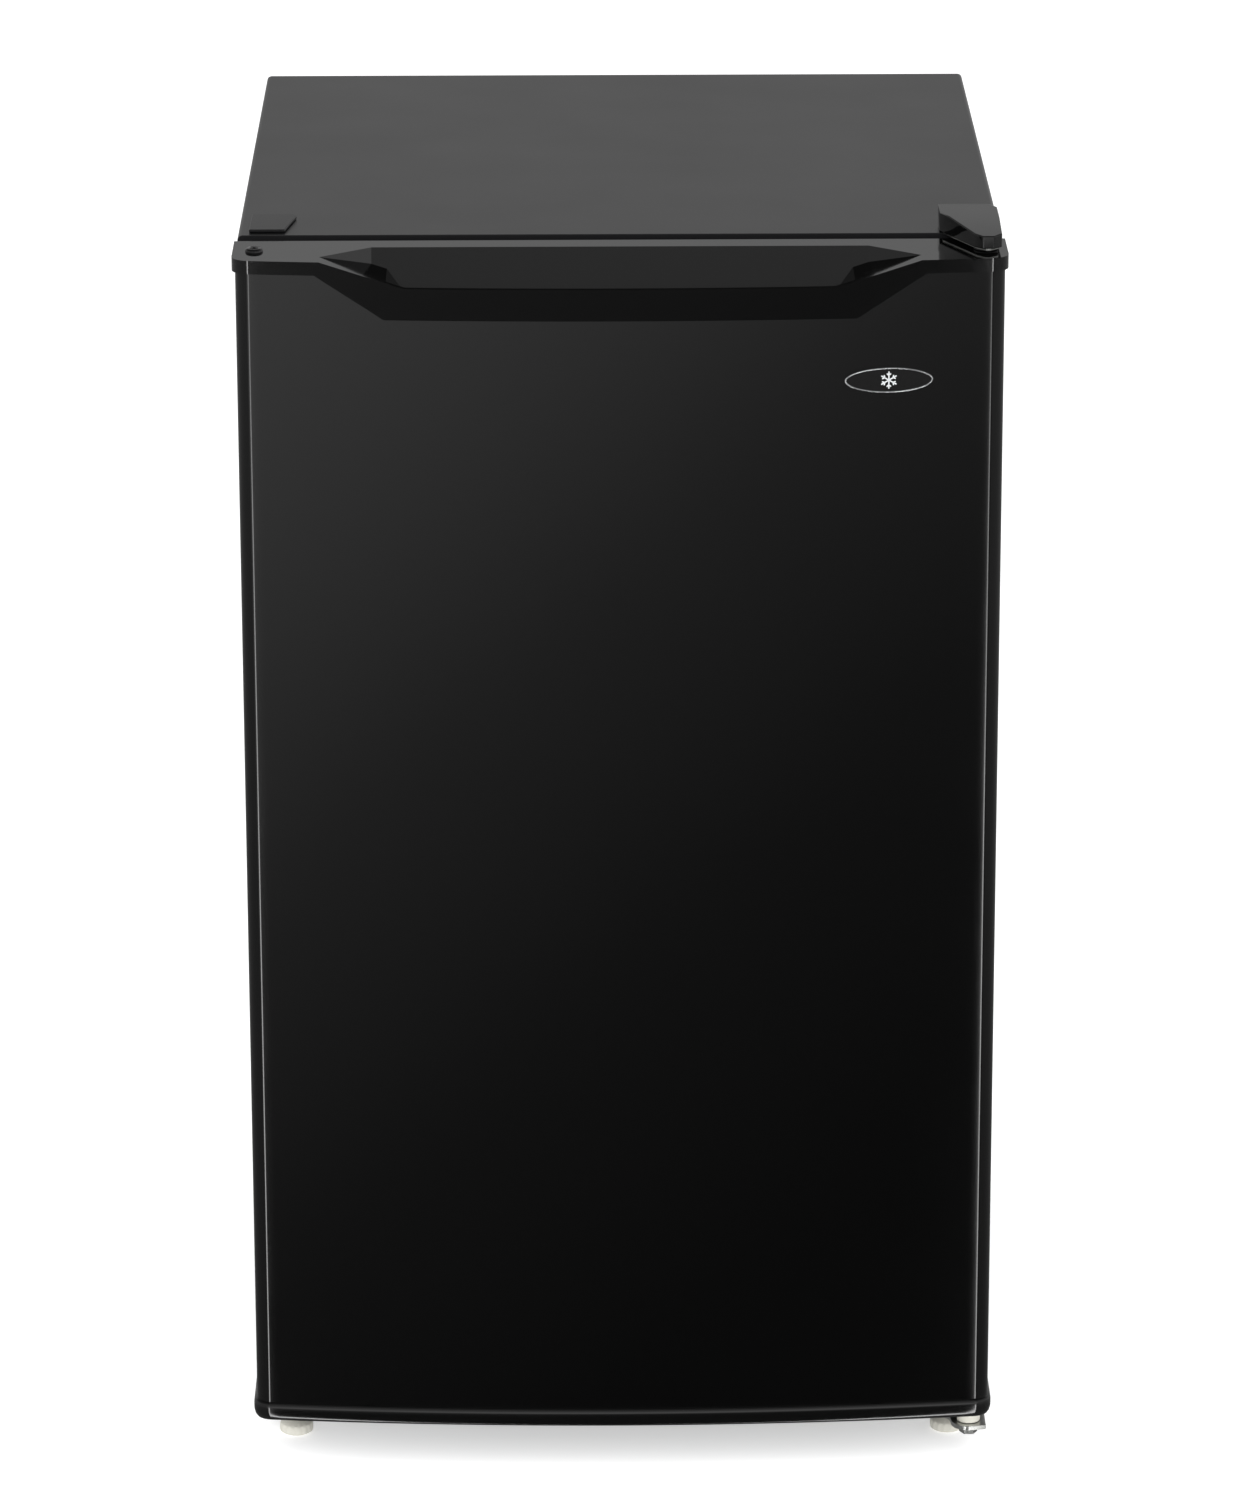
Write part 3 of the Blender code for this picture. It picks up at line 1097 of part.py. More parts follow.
def main():
    clear_scene()
    paint = material("black_painted_steel", (0.016, 0.016, 0.017), 0.38)
    gloss = material("black_gloss_abs", (0.008, 0.008, 0.009), 0.12)
    zinc = material("zinc_plated_steel", (0.62, 0.62, 0.60), 0.35, 1.0)
    steel = material("black_oxide_steel", (0.05, 0.05, 0.055), 0.45, 0.6)
    foam = material("polyurethane_foam", (0.80, 0.62, 0.32), 0.9)
    white = material("white_polystyrene", (0.80, 0.80, 0.78), 0.3)
    grey = material("grey_abs", (0.55, 0.56, 0.58), 0.4)
    red = material("red_abs", (0.55, 0.02, 0.02), 0.35)
    clear = material("clear_polystyrene", (0.80, 0.86, 0.88), 0.08, 0.0, 0.35)
    glass = material("tempered_glass", (0.75, 0.88, 0.84), 0.03, 0.0, 0.30)
    rubber = material("black_rubber", (0.03, 0.03, 0.03), 0.7)
    seal = material("black_vinyl", (0.02, 0.02, 0.02), 0.6)
    nylon = material("natural_nylon", (0.75, 0.74, 0.70), 0.45)
    copper = material("copper_tube", (0.72, 0.38, 0.25), 0.3, 1.0)
    aluminium = material("rolled_aluminium", (0.75, 0.76, 0.77), 0.4, 1.0)
    chrome = material("chromed_abs", (0.75, 0.75, 0.75), 0.15, 1.0)

    build_shell(paint)
    build_back_panel(paint)
    build_base_pan(zinc)
    build_bay_panel(zinc)
    build_cabinet_foam(foam)
    build_liner(white)
    build_condensers(steel)
    build_hinge_hole_cap(paint)
    build_top_hinge(steel, zinc, gloss, nylon)
    build_bottom_hinge(zinc, zinc, nylon)
    build_front_feet(nylon)
    build_machinery(zinc, steel, rubber, gloss, copper)
    build_freezer(aluminium, white)
    build_inside(glass, clear, white)
    build_thermostat(white, grey, red)

    axis = joint_empty("door_axis", (HINGE_X, HINGE_Y, 0))
    front_room, housing_room = handle_cutters()
    build_door_panel(paint, axis, front_room)
    build_top_cap(gloss, axis)
    build_bottom_cap(gloss, axis)
    build_door_foam(foam, axis, front_room, housing_room)
    build_door_liner(white, axis)
    build_gasket(seal, axis)
    build_door_fittings(nylon, gloss, chrome, clear, axis)


main()
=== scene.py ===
import json
import math

import bmesh
import bpy
from mathutils import Matrix, Vector


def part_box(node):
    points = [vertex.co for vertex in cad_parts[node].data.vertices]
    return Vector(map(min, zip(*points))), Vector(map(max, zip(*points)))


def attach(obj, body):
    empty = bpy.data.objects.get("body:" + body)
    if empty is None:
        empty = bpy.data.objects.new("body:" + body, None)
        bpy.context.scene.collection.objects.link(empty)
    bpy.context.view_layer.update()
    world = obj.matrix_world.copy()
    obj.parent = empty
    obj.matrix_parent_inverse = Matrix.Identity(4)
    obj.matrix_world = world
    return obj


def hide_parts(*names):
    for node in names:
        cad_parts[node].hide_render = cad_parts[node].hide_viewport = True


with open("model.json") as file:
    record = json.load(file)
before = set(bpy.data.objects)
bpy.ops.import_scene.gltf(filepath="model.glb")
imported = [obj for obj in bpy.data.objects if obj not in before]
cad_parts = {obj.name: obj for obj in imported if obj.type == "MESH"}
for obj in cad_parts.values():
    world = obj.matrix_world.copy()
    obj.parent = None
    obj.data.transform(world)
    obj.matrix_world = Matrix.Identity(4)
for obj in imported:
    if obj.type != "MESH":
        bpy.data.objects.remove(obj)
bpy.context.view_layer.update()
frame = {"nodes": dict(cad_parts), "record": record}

record = frame["record"]
bodyOf = {node: body for body, nodes in record["behaviour"]["bodies"].items() for node in nodes}
slotOf = {part["node"]: part["material_slot"] for part in record["subparts"]}
mm = 0.001
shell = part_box("cabinet_shell")
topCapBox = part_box("door_top_cap")
faceY = shell[0].y  # the cabinet's front plane


# Camera, a long lens from a little above
camera = {"place": (-0.0291, faceY - 4.123, 1.8268), "pitch": 18.11, "yaw": 0.416, "roll": 0.113,
          "lens": 165.34, "sensor": 36, "reach": 100}


def makeCamera():
    data = bpy.data.cameras.new("camera")
    data.sensor_width = camera["sensor"]
    data.lens = camera["lens"]
    data.clip_end = camera["reach"]
    made = bpy.data.objects.new("camera", data)
    bpy.context.scene.collection.objects.link(made)
    turn = Matrix.Rotation(-math.radians(camera["yaw"]), 4, "Z")
    turn @= Matrix.Rotation(math.radians(90 - camera["pitch"]), 4, "X")
    turn @= Matrix.Rotation(-math.radians(camera["roll"]), 4, "Z")
    made.matrix_world = Matrix.Translation(camera["place"]) @ turn
    bpy.context.scene.camera = made


# Colour and node helpers
def linear(hexColour):
    parts = [int(hexColour[i:i + 2], 16) / 255 for i in (1, 3, 5)]
    return (*[p / 12.92 if p <= 0.04045 else ((p + 0.055) / 1.055) ** 2.4 for p in parts], 1)


def addNode(tree, kind, settings=None, sockets=None):
    made = tree.nodes.new("ShaderNode" + kind)
    for name, value in (settings or {}).items():
        setattr(made, name, value)
    for name, value in (sockets or {}).items():
        if isinstance(value, bpy.types.NodeSocket):
            tree.links.new(value, made.inputs[name])
        else:
            made.inputs[name].default_value = value
    return made


# Texture scale for a feature of that many millimetres.
def perMetre(size):
    return 1000 / size


def startMaterial(name, colour, roughness, **sockets):
    made = bpy.data.materials.new(name)
    made.use_nodes = True
    tree = made.node_tree
    shader = tree.nodes["Principled BSDF"]
    shader.inputs["Base Color"].default_value = linear(colour)
    shader.inputs["Roughness"].default_value = roughness
    for key, value in sockets.items():
        shader.inputs[key.replace("_", " ")].default_value = value
    made.diffuse_color = linear(colour)
    return made, tree, shader


def objectSpace(tree, stretch=(1, 1, 1)):
    coords = addNode(tree, "TexCoord").outputs["Object"]
    return addNode(tree, "Mapping", sockets={"Vector": coords, "Scale": stretch}).outputs["Vector"]


def noise(tree, size, detail=2, stretch=(1, 1, 1), rough=0.5):
    where = objectSpace(tree, stretch)
    return addNode(tree, "TexNoise", sockets={"Vector": where, "Scale": perMetre(size), "Detail": detail,
                                              "Roughness": rough}).outputs["Fac"]


# Depth in millimetres.
def bump(tree, shader, height, depth, strength=1.0):
    made = addNode(tree, "Bump", sockets={"Height": height, "Distance": depth * mm, "Strength": strength})
    tree.links.new(made.outputs["Normal"], shader.inputs["Normal"])


# Maps a 0 to 1 pattern onto a socket's range.
def spread(tree, value, low, high, target):
    made = addNode(tree, "MapRange", sockets={"Value": value, "To Min": low, "To Max": high})
    tree.links.new(made.outputs["Result"], target)


def tint(tree, value, first, second, target):
    ramp = addNode(tree, "ValToRGB", sockets={"Fac": value})
    ramp.color_ramp.elements[0].color = linear(first)
    ramp.color_ramp.elements[0].position = 0.3
    ramp.color_ramp.elements[1].color = linear(second)
    ramp.color_ramp.elements[1].position = 0.7
    tree.links.new(ramp.outputs["Color"], target)


# Materials, each named for what it is and how its surface is made
# Door skin: prepainted coil-coated steel, a flat film that mirrors softly.
def coilCoatedSteel():
    made, tree, shader = startMaterial("coilCoatedSteelDoor", "#030303", 0.07, Specular_IOR_Level=0.5)
    bump(tree, shader, noise(tree, 9, 1), 0.004)  # barely waved film
    spread(tree, noise(tree, 60, 3), 0.055, 0.085, shader.inputs["Roughness"])
    return made


# Cabinet sides and top: fine orange peel, satin black.
def powderCoatedSteel():
    made, tree, shader = startMaterial("powderCoatedSteel", "#121213", 0.3, Specular_IOR_Level=0.36)
    bump(tree, shader, noise(tree, 1.6, 2), 0.006)
    spread(tree, noise(tree, 90, 3), 0.28, 0.34, shader.inputs["Roughness"])
    return made


# Caps and hinge cover: injection-moulded gloss ABS, polished tool, faint sink waves.
def glossAbs():
    made, tree, shader = startMaterial("glossAbs", "#060606", 0.08, IOR=1.54)
    bump(tree, shader, noise(tree, 22, 1), 0.01)
    spread(tree, noise(tree, 7, 4), 0.06, 0.11, shader.inputs["Roughness"])
    return made


# Small black covers: spark-eroded texture, satin.
def texturedAbs():
    made, tree, shader = startMaterial("texturedAbs", "#141415", 0.42, IOR=1.54)
    bump(tree, shader, noise(tree, 0.7, 3), 0.02)
    return made


# Liner and frames: vacuum-formed high-impact polystyrene, soft sheen.
def polystyreneWhite():
    made, tree, shader = startMaterial("highImpactPolystyrene", "#c9c9c5", 0.34, IOR=1.59)
    bump(tree, shader, noise(tree, 14, 2), 0.02)
    tint(tree, noise(tree, 120, 2), "#c5c5c1", "#cdcdca", shader.inputs["Base Color"])
    return made


# Bins, drawer and tray: clear general-purpose polystyrene with a cool cast.
def polystyreneClear():
    made, tree, shader = startMaterial("clearPolystyrene", "#f4f9fb", 0.06, IOR=1.59)
    shader.inputs["Transmission Weight"].default_value = 0.93
    bump(tree, shader, noise(tree, 18, 1), 0.01)
    return made


# Shelves: float glass, green in its thickness.
def temperedGlass():
    made, tree, shader = startMaterial("temperedGlass", "#e6f5ee", 0.02, IOR=1.52)
    shader.inputs["Transmission Weight"].default_value = 0.96
    bump(tree, shader, noise(tree, 80, 1), 0.01)
    return made


# Brackets, pins and screws: bright zinc plating with cloudy passivation.
def zincPlate():
    made, tree, shader = startMaterial("zincPlatedSteel", "#b9bab6", 0.3, Metallic=1.0)
    tint(tree, noise(tree, 6, 4), "#a9aaa5", "#c9cac8", shader.inputs["Base Color"])
    spread(tree, noise(tree, 3, 3), 0.22, 0.42, shader.inputs["Roughness"])
    return made


# Base pan, rail and bay wall: hot-dip galvanised sheet with spangle.
def galvanised():
    made, tree, shader = startMaterial("galvanisedSheet", "#a7aaab", 0.4, Metallic=1.0)
    where = objectSpace(tree)
    spangle = addNode(tree, "TexVoronoi", sockets={"Vector": where, "Scale": perMetre(6)}).outputs["Color"]
    grey = addNode(tree, "RGBToBW", sockets={"Color": spangle}).outputs["Val"]
    tint(tree, grey, "#a0a3a5", "#b0b3b4", shader.inputs["Base Color"])
    spread(tree, grey, 0.36, 0.46, shader.inputs["Roughness"])
    return made


# Condenser tube: plain drawn steel.
def bundyTube():
    made, tree, shader = startMaterial("drawnSteelTube", "#6f7071", 0.35, Metallic=1.0)
    spread(tree, noise(tree, 5, 3), 0.28, 0.45, shader.inputs["Roughness"])
    return made


# Compressor shell: black stoved enamel over pressed steel, slight drips.
def stovedEnamel():
    made, tree, shader = startMaterial("stovedBlackEnamel", "#101011", 0.27)
    bump(tree, shader, noise(tree, 4, 3), 0.03)
    spread(tree, noise(tree, 20, 3), 0.22, 0.36, shader.inputs["Roughness"])
    return made


# Evaporator: roll-bonded aluminium, fine rolling lines across the box.
def rolledAluminium():
    made, tree, shader = startMaterial("rollBondedAluminium", "#c6c8ca", 0.38, Metallic=1.0)
    lines = noise(tree, 1.2, 4, stretch=(0.02, 1, 1))
    bump(tree, shader, lines, 0.01)
    spread(tree, lines, 0.3, 0.46, shader.inputs["Roughness"])
    return made


# Refrigerant tubes and drier: drawn copper, darkened in patches by brazing.
def drawnCopper():
    made, tree, shader = startMaterial("drawnCopper", "#b87850", 0.3, Metallic=1.0)
    tint(tree, noise(tree, 12, 4), "#8d5636", "#c98a62", shader.inputs["Base Color"])
    spread(tree, noise(tree, 4, 3), 0.24, 0.44, shader.inputs["Roughness"])
    return made


# Rear feet and grommets: moulded EPDM, dull with a bloom.
def mouldedRubber():
    made, tree, shader = startMaterial("mouldedRubber", "#1b1b1b", 0.75)
    tint(tree, noise(tree, 8, 4), "#161616", "#232323", shader.inputs["Base Color"])
    bump(tree, shader, noise(tree, 0.8, 2), 0.03)
    return made


# Door gasket: extruded soft vinyl.
def sealVinyl():
    made, tree, shader = startMaterial("extrudedVinyl", "#161617", 0.5)
    bump(tree, shader, noise(tree, 2, 2, stretch=(0.1, 1, 0.1)), 0.02)
    return made


# Levelling feet and bushes: unfilled nylon, ivory.
def naturalNylon():
    made, tree, shader = startMaterial("naturalNylon", "#dddbd0", 0.42, IOR=1.53)
    bump(tree, shader, noise(tree, 1.5, 2), 0.01)
    return made


# Insulation: foamed in place, straw-coloured skin with cells.
def urethaneFoam():
    made, tree, shader = startMaterial("pouredUrethaneFoam", "#d9c48a", 0.9)
    cells = addNode(tree, "TexVoronoi", sockets={"Vector": objectSpace(tree), "Scale": perMetre(1.5)})
    bump(tree, shader, cells.outputs["Distance"], 0.3)
    return made


def plasticOf(name, colour, roughness):
    made, tree, shader = startMaterial(name, colour, roughness, IOR=1.54)
    bump(tree, shader, noise(tree, 0.9, 2), 0.01)
    return made


# Nameplate ring: bright chrome over ABS.
def chromePlate():
    made, tree, shader = startMaterial("chromePlatedAbs", "#d5d6d8", 0.14, Metallic=1.0)
    spread(tree, noise(tree, 2, 3), 0.1, 0.2, shader.inputs["Roughness"])
    return made


finishes = {
    "painted_steel": powderCoatedSteel(),
    "door_steel": coilCoatedSteel(),
    "zinc_steel": zincPlate(),
    "tube_steel": bundyTube(),
    "black_steel": stovedEnamel(),
    "black_gloss": glossAbs(),
    "black_plastic": texturedAbs(),
    "white_plastic": polystyreneWhite(),
    "grey_plastic": plasticOf("greyAbs", "#8f9296", 0.4),
    "red_plastic": plasticOf("redAbs", "#9c1d1d", 0.35),
    "clear_plastic": polystyreneClear(),
    "glass": temperedGlass(),
    "foam": urethaneFoam(),
    "rubber": mouldedRubber(),
    "nylon": naturalNylon(),
    "copper": drawnCopper(),
    "aluminium": rolledAluminium(),
    "chrome": chromePlate(),
}
galvanisedSheet = galvanised()
gasketVinyl = sealVinyl()
silverInk = plasticOf("hotStampedSilver", "#b4b6b8", 0.35)
finishOf = {node: finishes[slot] for node, slot in slotOf.items()}
for sheetNode in ("base_pan", "compressor_bay_panel", "compressor_rail"):
    finishOf[sheetNode] = galvanisedSheet
finishOf["door_gasket"] = gasketVinyl
lowSheen = plasticOf("lowSheenAbs", "#101011", 0.3)
lowSheen.node_tree.nodes["Principled BSDF"].inputs["Specular IOR Level"].default_value = 0.22
finishOf["hinge_hole_cap"] = lowSheen
print("materials:", len(bpy.data.materials))


# Mesh helpers
# A CAD node's mesh with its loose triangles merged into whole faces.
def copyOf(node):
    bm = bmesh.new()
    bm.from_mesh(frame["nodes"][node].data)
    bmesh.ops.remove_doubles(bm, verts=bm.verts, dist=0.01 * mm)
    bmesh.ops.dissolve_limit(bm, angle_limit=math.radians(0.15), verts=bm.verts, edges=bm.edges)
    return bm


# Rounds the edges that turn by more than that many degrees.
def soften(bm, radius, segments=2, sharper=28, choose=None):
    edges = [e for e in bm.edges if len(e.link_faces) == 2 and e.calc_face_angle(0) > math.radians(sharper)]
    if choose:
        edges = [e for e in edges if choose(e)]
    bmesh.ops.bevel(bm, geom=edges, offset=radius, offset_type="OFFSET", segments=segments, profile=0.5,
                    affect="EDGES", clamp_overlap=True, material=-1)
    return bm


def finishPiece(name, bm, finish, body, replaces=(), angle=32):
    mesh = bpy.data.meshes.new(name)
    bm.to_mesh(mesh)
    bm.free()
    mesh.shade_smooth()
    mesh.set_sharp_from_angle(angle=math.radians(angle))
    mesh.materials.append(finish)
    obj = bpy.data.objects.new(name, mesh)
    bpy.context.scene.collection.objects.link(obj)
    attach(obj, body)
    if replaces:
        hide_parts(*replaces)
    return obj


# A softened copy that stands for its CAD node.
def refine(node, name, radius, segments=2, sharper=28, choose=None, start=None):
    bm = soften(start or copyOf(node), radius, segments, sharper, choose)
    obj = finishPiece(name, bm, finishOf[node], bodyOf[node], [node])
    even = obj.modifiers.new("evenNormals", "WEIGHTED_NORMAL")
    even.keep_sharp = True
    return obj


def arc(centre, radius, start, end, steps):
    turns = [math.radians(start + (end - start) * i / steps) for i in range(steps + 1)]
    return [(centre[0] + radius * math.cos(t), centre[1] + radius * math.sin(t)) for t in turns]


def chain(bm, points, closed=False):
    verts = [bm.verts.new(p) for p in points]
    pairs = list(zip(verts, verts[1:])) + ([(verts[-1], verts[0])] if closed else [])
    return verts, [bm.edges.new(pair) for pair in pairs]


# Points of (radius, height) spun round +Z into a closed shape.
def turnedShape(profile, steps=48):
    bm = bmesh.new()
    verts, edges = chain(bm, [(r, 0, z) for r, z in profile])
    bmesh.ops.spin(bm, geom=verts + edges, cent=(0, 0, 0), axis=(0, 0, 1), angle=2 * math.pi, steps=steps,
                   use_merge=True)
    bmesh.ops.remove_doubles(bm, verts=bm.verts, dist=0.001 * mm)
    bmesh.ops.recalc_face_normals(bm, faces=bm.faces)
    return bm


def placed(bm, place, turn=None, stretch=None):
    if stretch:
        bmesh.ops.scale(bm, vec=stretch, verts=bm.verts)
    if turn:
        bmesh.ops.rotate(bm, cent=(0, 0, 0), matrix=turn, verts=bm.verts)
    bmesh.ops.translate(bm, vec=place, verts=bm.verts)
    return bm


def box(low, high):
    bm = bmesh.new()
    middle = [(a + b) / 2 for a, b in zip(low, high)]
    size = [b - a for a, b in zip(low, high)]
    bmesh.ops.create_cube(bm, size=1)
    bmesh.ops.scale(bm, vec=size, verts=bm.verts)
    bmesh.ops.translate(bm, vec=middle, verts=bm.verts)
    return bm


def joined(*shapes):
    whole = bmesh.new()
    for shape in shapes:
        part = bpy.data.meshes.new("part")
        shape.to_mesh(part)
        shape.free()
        whole.from_mesh(part)
        bpy.data.meshes.remove(part)
    return whole


# Skins a row of closed loops of points with bridge_loops.
def swept(loops, closed=True):
    bm = bmesh.new()
    rings = [chain(bm, loop, closed=True)[1] for loop in loops]
    pairs = list(zip(rings, rings[1:])) + ([(rings[-1], rings[0])] if closed else [])
    for first, second in pairs:
        bmesh.ops.bridge_loops(bm, edges=first + second)
    if not closed:
        bmesh.ops.holes_fill(bm, edges=rings[0] + rings[-1], sides=0)
    bmesh.ops.recalc_face_normals(bm, faces=bm.faces)
    return bm


def centreOf(node):
    low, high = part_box(node)
    return (low + high) / 2


def vertsOf(geom):
    return [v for v in geom if isinstance(v, bmesh.types.BMVert)]


# A node's name in camel case
def pieceName(node):
    name = node.title().replace("_", "")
    return name[0].lower() + name[1:]


# Door skin: one folded sheet, bowed in plan, notched round the handle
doorSkin = {"bow": 13.5 * mm, "corner": 10 * mm, "fold": 1.2 * mm, "return": 14 * mm, "sheet": 0.8 * mm,
            "inset": 2 * mm, "bowSteps": 72, "cornerSteps": 14,
            "notchTop": 186 * mm, "notchBottom": 144 * mm, "skirt": 8.5 * mm, "drop": 36 * mm,
            "frontOnly": -200 * mm, "foldSteps": 4}


# Radius of the caps' bowed front, from its bow and its width
def bowRadius():
    half, bow = topCapBox[1].x, doorSkin["bow"]
    return (half ** 2 + bow ** 2) / (2 * bow)


def skinPlan():
    low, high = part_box("door_panel")
    half = high.x
    s = doorSkin
    big = bowRadius() - s["inset"]
    centreY = topCapBox[0].y + bowRadius()
    cornerX = half - s["corner"]
    lean = math.degrees(math.asin(cornerX / (big - s["corner"])))
    cornerY = centreY - (big - s["corner"]) * math.cos(math.radians(lean))
    back = high.y
    right = [(half - s["return"], back)]
    right += arc((half - s["fold"], back - s["fold"]), s["fold"], 90, 0, s["foldSteps"])
    right += arc((cornerX, cornerY), s["corner"], 0, lean - 90, s["cornerSteps"])
    front = arc((0, centreY), big, lean - 90, -lean - 90, s["bowSteps"])[1:-1]
    left = [(-x, y) for x, y in reversed(right)]
    return right + front + left, low.z, high.z


def makeDoorSkin():
    s = doorSkin
    plan, low, high = skinPlan()
    bm = bmesh.new()
    edges = chain(bm, [(x, y, low) for x, y in plan])[1]
    raised = bmesh.ops.extrude_edge_only(bm, edges=edges)["geom"]
    bmesh.ops.translate(bm, vec=(0, 0, high - low), verts=vertsOf(raised))
    top = topCapBox[1].z
    slope = (s["notchTop"] - s["notchBottom"]) / (s["drop"] - s["skirt"])
    floor = top - s["drop"]
    cuts = [((0, 0, floor), (0, 0, 1))]
    for side in (-1, 1):
        cuts.append(((side * s["notchBottom"], 0, floor), (side, 0, -slope)))
    for place, normal in cuts:
        bmesh.ops.bisect_plane(bm, geom=bm.verts[:] + bm.edges[:] + bm.faces[:], plane_co=place,
                               plane_no=normal, dist=0.001 * mm)

    def inNotch(face):
        spot = face.calc_center_median()
        half = s["notchBottom"] + (spot.z - floor) * slope
        return spot.z > floor and abs(spot.x) < half and spot.y < s["frontOnly"]

    bmesh.ops.delete(bm, geom=[f for f in bm.faces if inNotch(f)], context="FACES")
    bmesh.ops.recalc_face_normals(bm, faces=bm.faces)
    if max(bm.faces, key=lambda f: -f.calc_center_median().y).normal.y > 0:
        bmesh.ops.reverse_faces(bm, faces=bm.faces)
    bmesh.ops.solidify(bm, geom=bm.faces[:], thickness=s["sheet"])
    bmesh.ops.recalc_face_normals(bm, faces=bm.faces)
    finishPiece("doorSkin", bm, finishOf["door_panel"], "door", ["door_panel"], angle=50)


# Magnetic gasket: a bellows profile carried round the door's back
gasket = {"corner": 9 * mm, "cornerSteps": 6, "width": 14 * mm}


def makeGasket():
    low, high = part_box("door_gasket")
    depth = high.y - low.y
    width = gasket["width"]
    profile = [(0.12, 0), (0.88, 0), (0.88, 0.12), (0.62, 0.2), (0.86, 0.34), (0.62, 0.48), (0.94, 0.62),
               (0.97, 0.9), (0.9, 1), (0.1, 1), (0.03, 0.9), (0.06, 0.62), (0.38, 0.48), (0.14, 0.34),
               (0.38, 0.2), (0.12, 0.12)]
    r = gasket["corner"]
    corners = [((high.x - r, high.z - r), 0), ((low.x + r, high.z - r), 90),
               ((low.x + r, low.z + r), 180), ((high.x - r, low.z + r), 270)]
    loops = []
    for centre, start in corners:
        for i in range(gasket["cornerSteps"] + 1):
            t = math.radians(start + 90 * i / gasket["cornerSteps"])
            out = Vector((math.cos(t), 0, math.sin(t)))
            spot = Vector((centre[0], low.y, centre[1])) + out * r
            loops.append([spot - out * width * (1 - a) + Vector((0, depth * b, 0)) for a, b in profile])
    finishPiece("gasketBellows", swept(loops), gasketVinyl, "door", ["door_gasket"], angle=40)


# Nameplate: a chrome oval with a small snowflake on it
nameplate = {"halfWide": 27.2 * mm, "halfHigh": 8 * mm, "faceRadius": 2.08, "ringWidth": 1.1 * mm,
             "ringHeight": 1.3 * mm, "steps": 96, "fieldSteps": 64, "fieldThick": 0.5 * mm,
             "fieldSink": 0.4 * mm, "arms": 6, "armLength": 5.4 * mm, "armWidth": 0.7 * mm,
             "armFront": 0.35 * mm, "armBack": 0.1 * mm, "twigLength": 0.32, "twigPlace": 0.55,
             "twigTilt": 50}


def makeNameplate():
    p = nameplate
    place = centreOf("badge_ring")
    halfWide, halfHigh = p["halfWide"], p["halfHigh"]
    turn = Matrix.Rotation(math.asin(place.x / p["faceRadius"]), 3, "Z")
    w, h = p["ringWidth"], p["ringHeight"]
    section = [(-0.5, 0.5), (-0.5, -0.1), (-0.3, -0.42), (0, -0.5), (0.3, -0.42), (0.5, -0.1), (0.5, 0.5)]
    loops = []
    for i in range(p["steps"]):
        t = 2 * math.pi * i / p["steps"]
        spot = Vector((halfWide * math.cos(t), 0, halfHigh * math.sin(t)))
        out = Vector((math.cos(t) / halfWide, 0, math.sin(t) / halfHigh)).normalized()
        loops.append([spot + out * (a - 0.5) * w + Vector((0, b * h, 0)) for a, b in section])
    ring = placed(swept(loops), place, turn)
    finishPiece("nameplateRing", ring, finishes["chrome"], "door", ["badge_ring"], angle=60)
    field = bmesh.new()
    bmesh.ops.create_circle(field, cap_ends=True, segments=p["fieldSteps"], radius=1)
    upright = Matrix.Rotation(math.radians(90), 3, "X")
    placed(field, (0, 0, 0), upright, (halfWide - w * 1.1, halfHigh - w * 1.1, 1))
    pushed = bmesh.ops.extrude_face_region(field, geom=field.faces[:])["geom"]
    bmesh.ops.translate(field, vec=(0, -p["fieldThick"], 0), verts=vertsOf(pushed))
    bmesh.ops.recalc_face_normals(field, faces=field.faces)
    placed(field, place + Vector((0, p["fieldSink"], 0)), turn)
    finishPiece("nameplateField", field, finishes["black_gloss"], "door", ["badge_plate"])
    arms = []
    length, half = p["armLength"], p["armWidth"] / 2
    for i in range(p["arms"]):
        spin = Matrix.Rotation(2 * math.pi * i / p["arms"], 3, "Y")
        parts = [box((-half, -p["armFront"], 0), (half, p["armBack"], length))]
        for side in (-1, 1):
            twig = box((-half, -p["armFront"], 0), (half, p["armBack"], length * p["twigLength"]))
            tilt = Matrix.Rotation(math.radians(p["twigTilt"] * side), 3, "Y")
            parts.append(placed(twig, (0, 0, length * p["twigPlace"]), tilt))
        arms.append(placed(joined(*parts), (0, 0, 0), spin))
    flake = placed(joined(*arms), place, turn)
    finishPiece("nameplateSnowflake", flake, silverInk, "door")


# Screws with a cross recess, all sizes as shares of the head's radius or height
screw = {"segments": 28, "slot": 0.16, "reach": 0.62, "sink": 0.55}


# A pan head standing on z = 0, its cross cut down from the top
def crossScrew(radius, height):
    profile = [(0, 0), (radius, 0), (radius, height * 0.25), (radius * 0.93, height * 0.55),
               (radius * 0.74, height * 0.82), (radius * 0.68, height * 0.88)]
    bm = turnedShape(profile, screw["segments"])
    rim = [e for e in bm.edges if e.is_boundary]
    bmesh.ops.holes_fill(bm, edges=rim, sides=0)
    slot, reach = radius * screw["slot"], radius * screw["reach"]

    def onTop(face):
        return face.normal.z > 0.99 and face.calc_center_median().z > height / 2

    def inCross(face):
        spot = face.calc_center_median()
        x, y = abs(spot.x), abs(spot.y)
        return onTop(face) and ((x < slot and y < reach) or (y < slot and x < reach))

    for axis in ((1, 0, 0), (0, 1, 0)):
        for offset in (-reach, -slot, slot, reach):
            tops = [f for f in bm.faces if onTop(f)]
            bmesh.ops.bisect_plane(bm, geom=tops + bm.edges[:] + bm.verts[:], plane_co=Vector(axis) * offset,
                                   plane_no=axis)
    pushed = bmesh.ops.extrude_face_region(bm, geom=[f for f in bm.faces if inCross(f)])["geom"]
    bmesh.ops.translate(bm, vec=(0, 0, -height * screw["sink"]), verts=vertsOf(pushed))
    lids = [f for f in bm.faces if inCross(f) and f.calc_center_median().z > height * 0.8]
    bmesh.ops.delete(bm, geom=lids, context="FACES")
    return bm


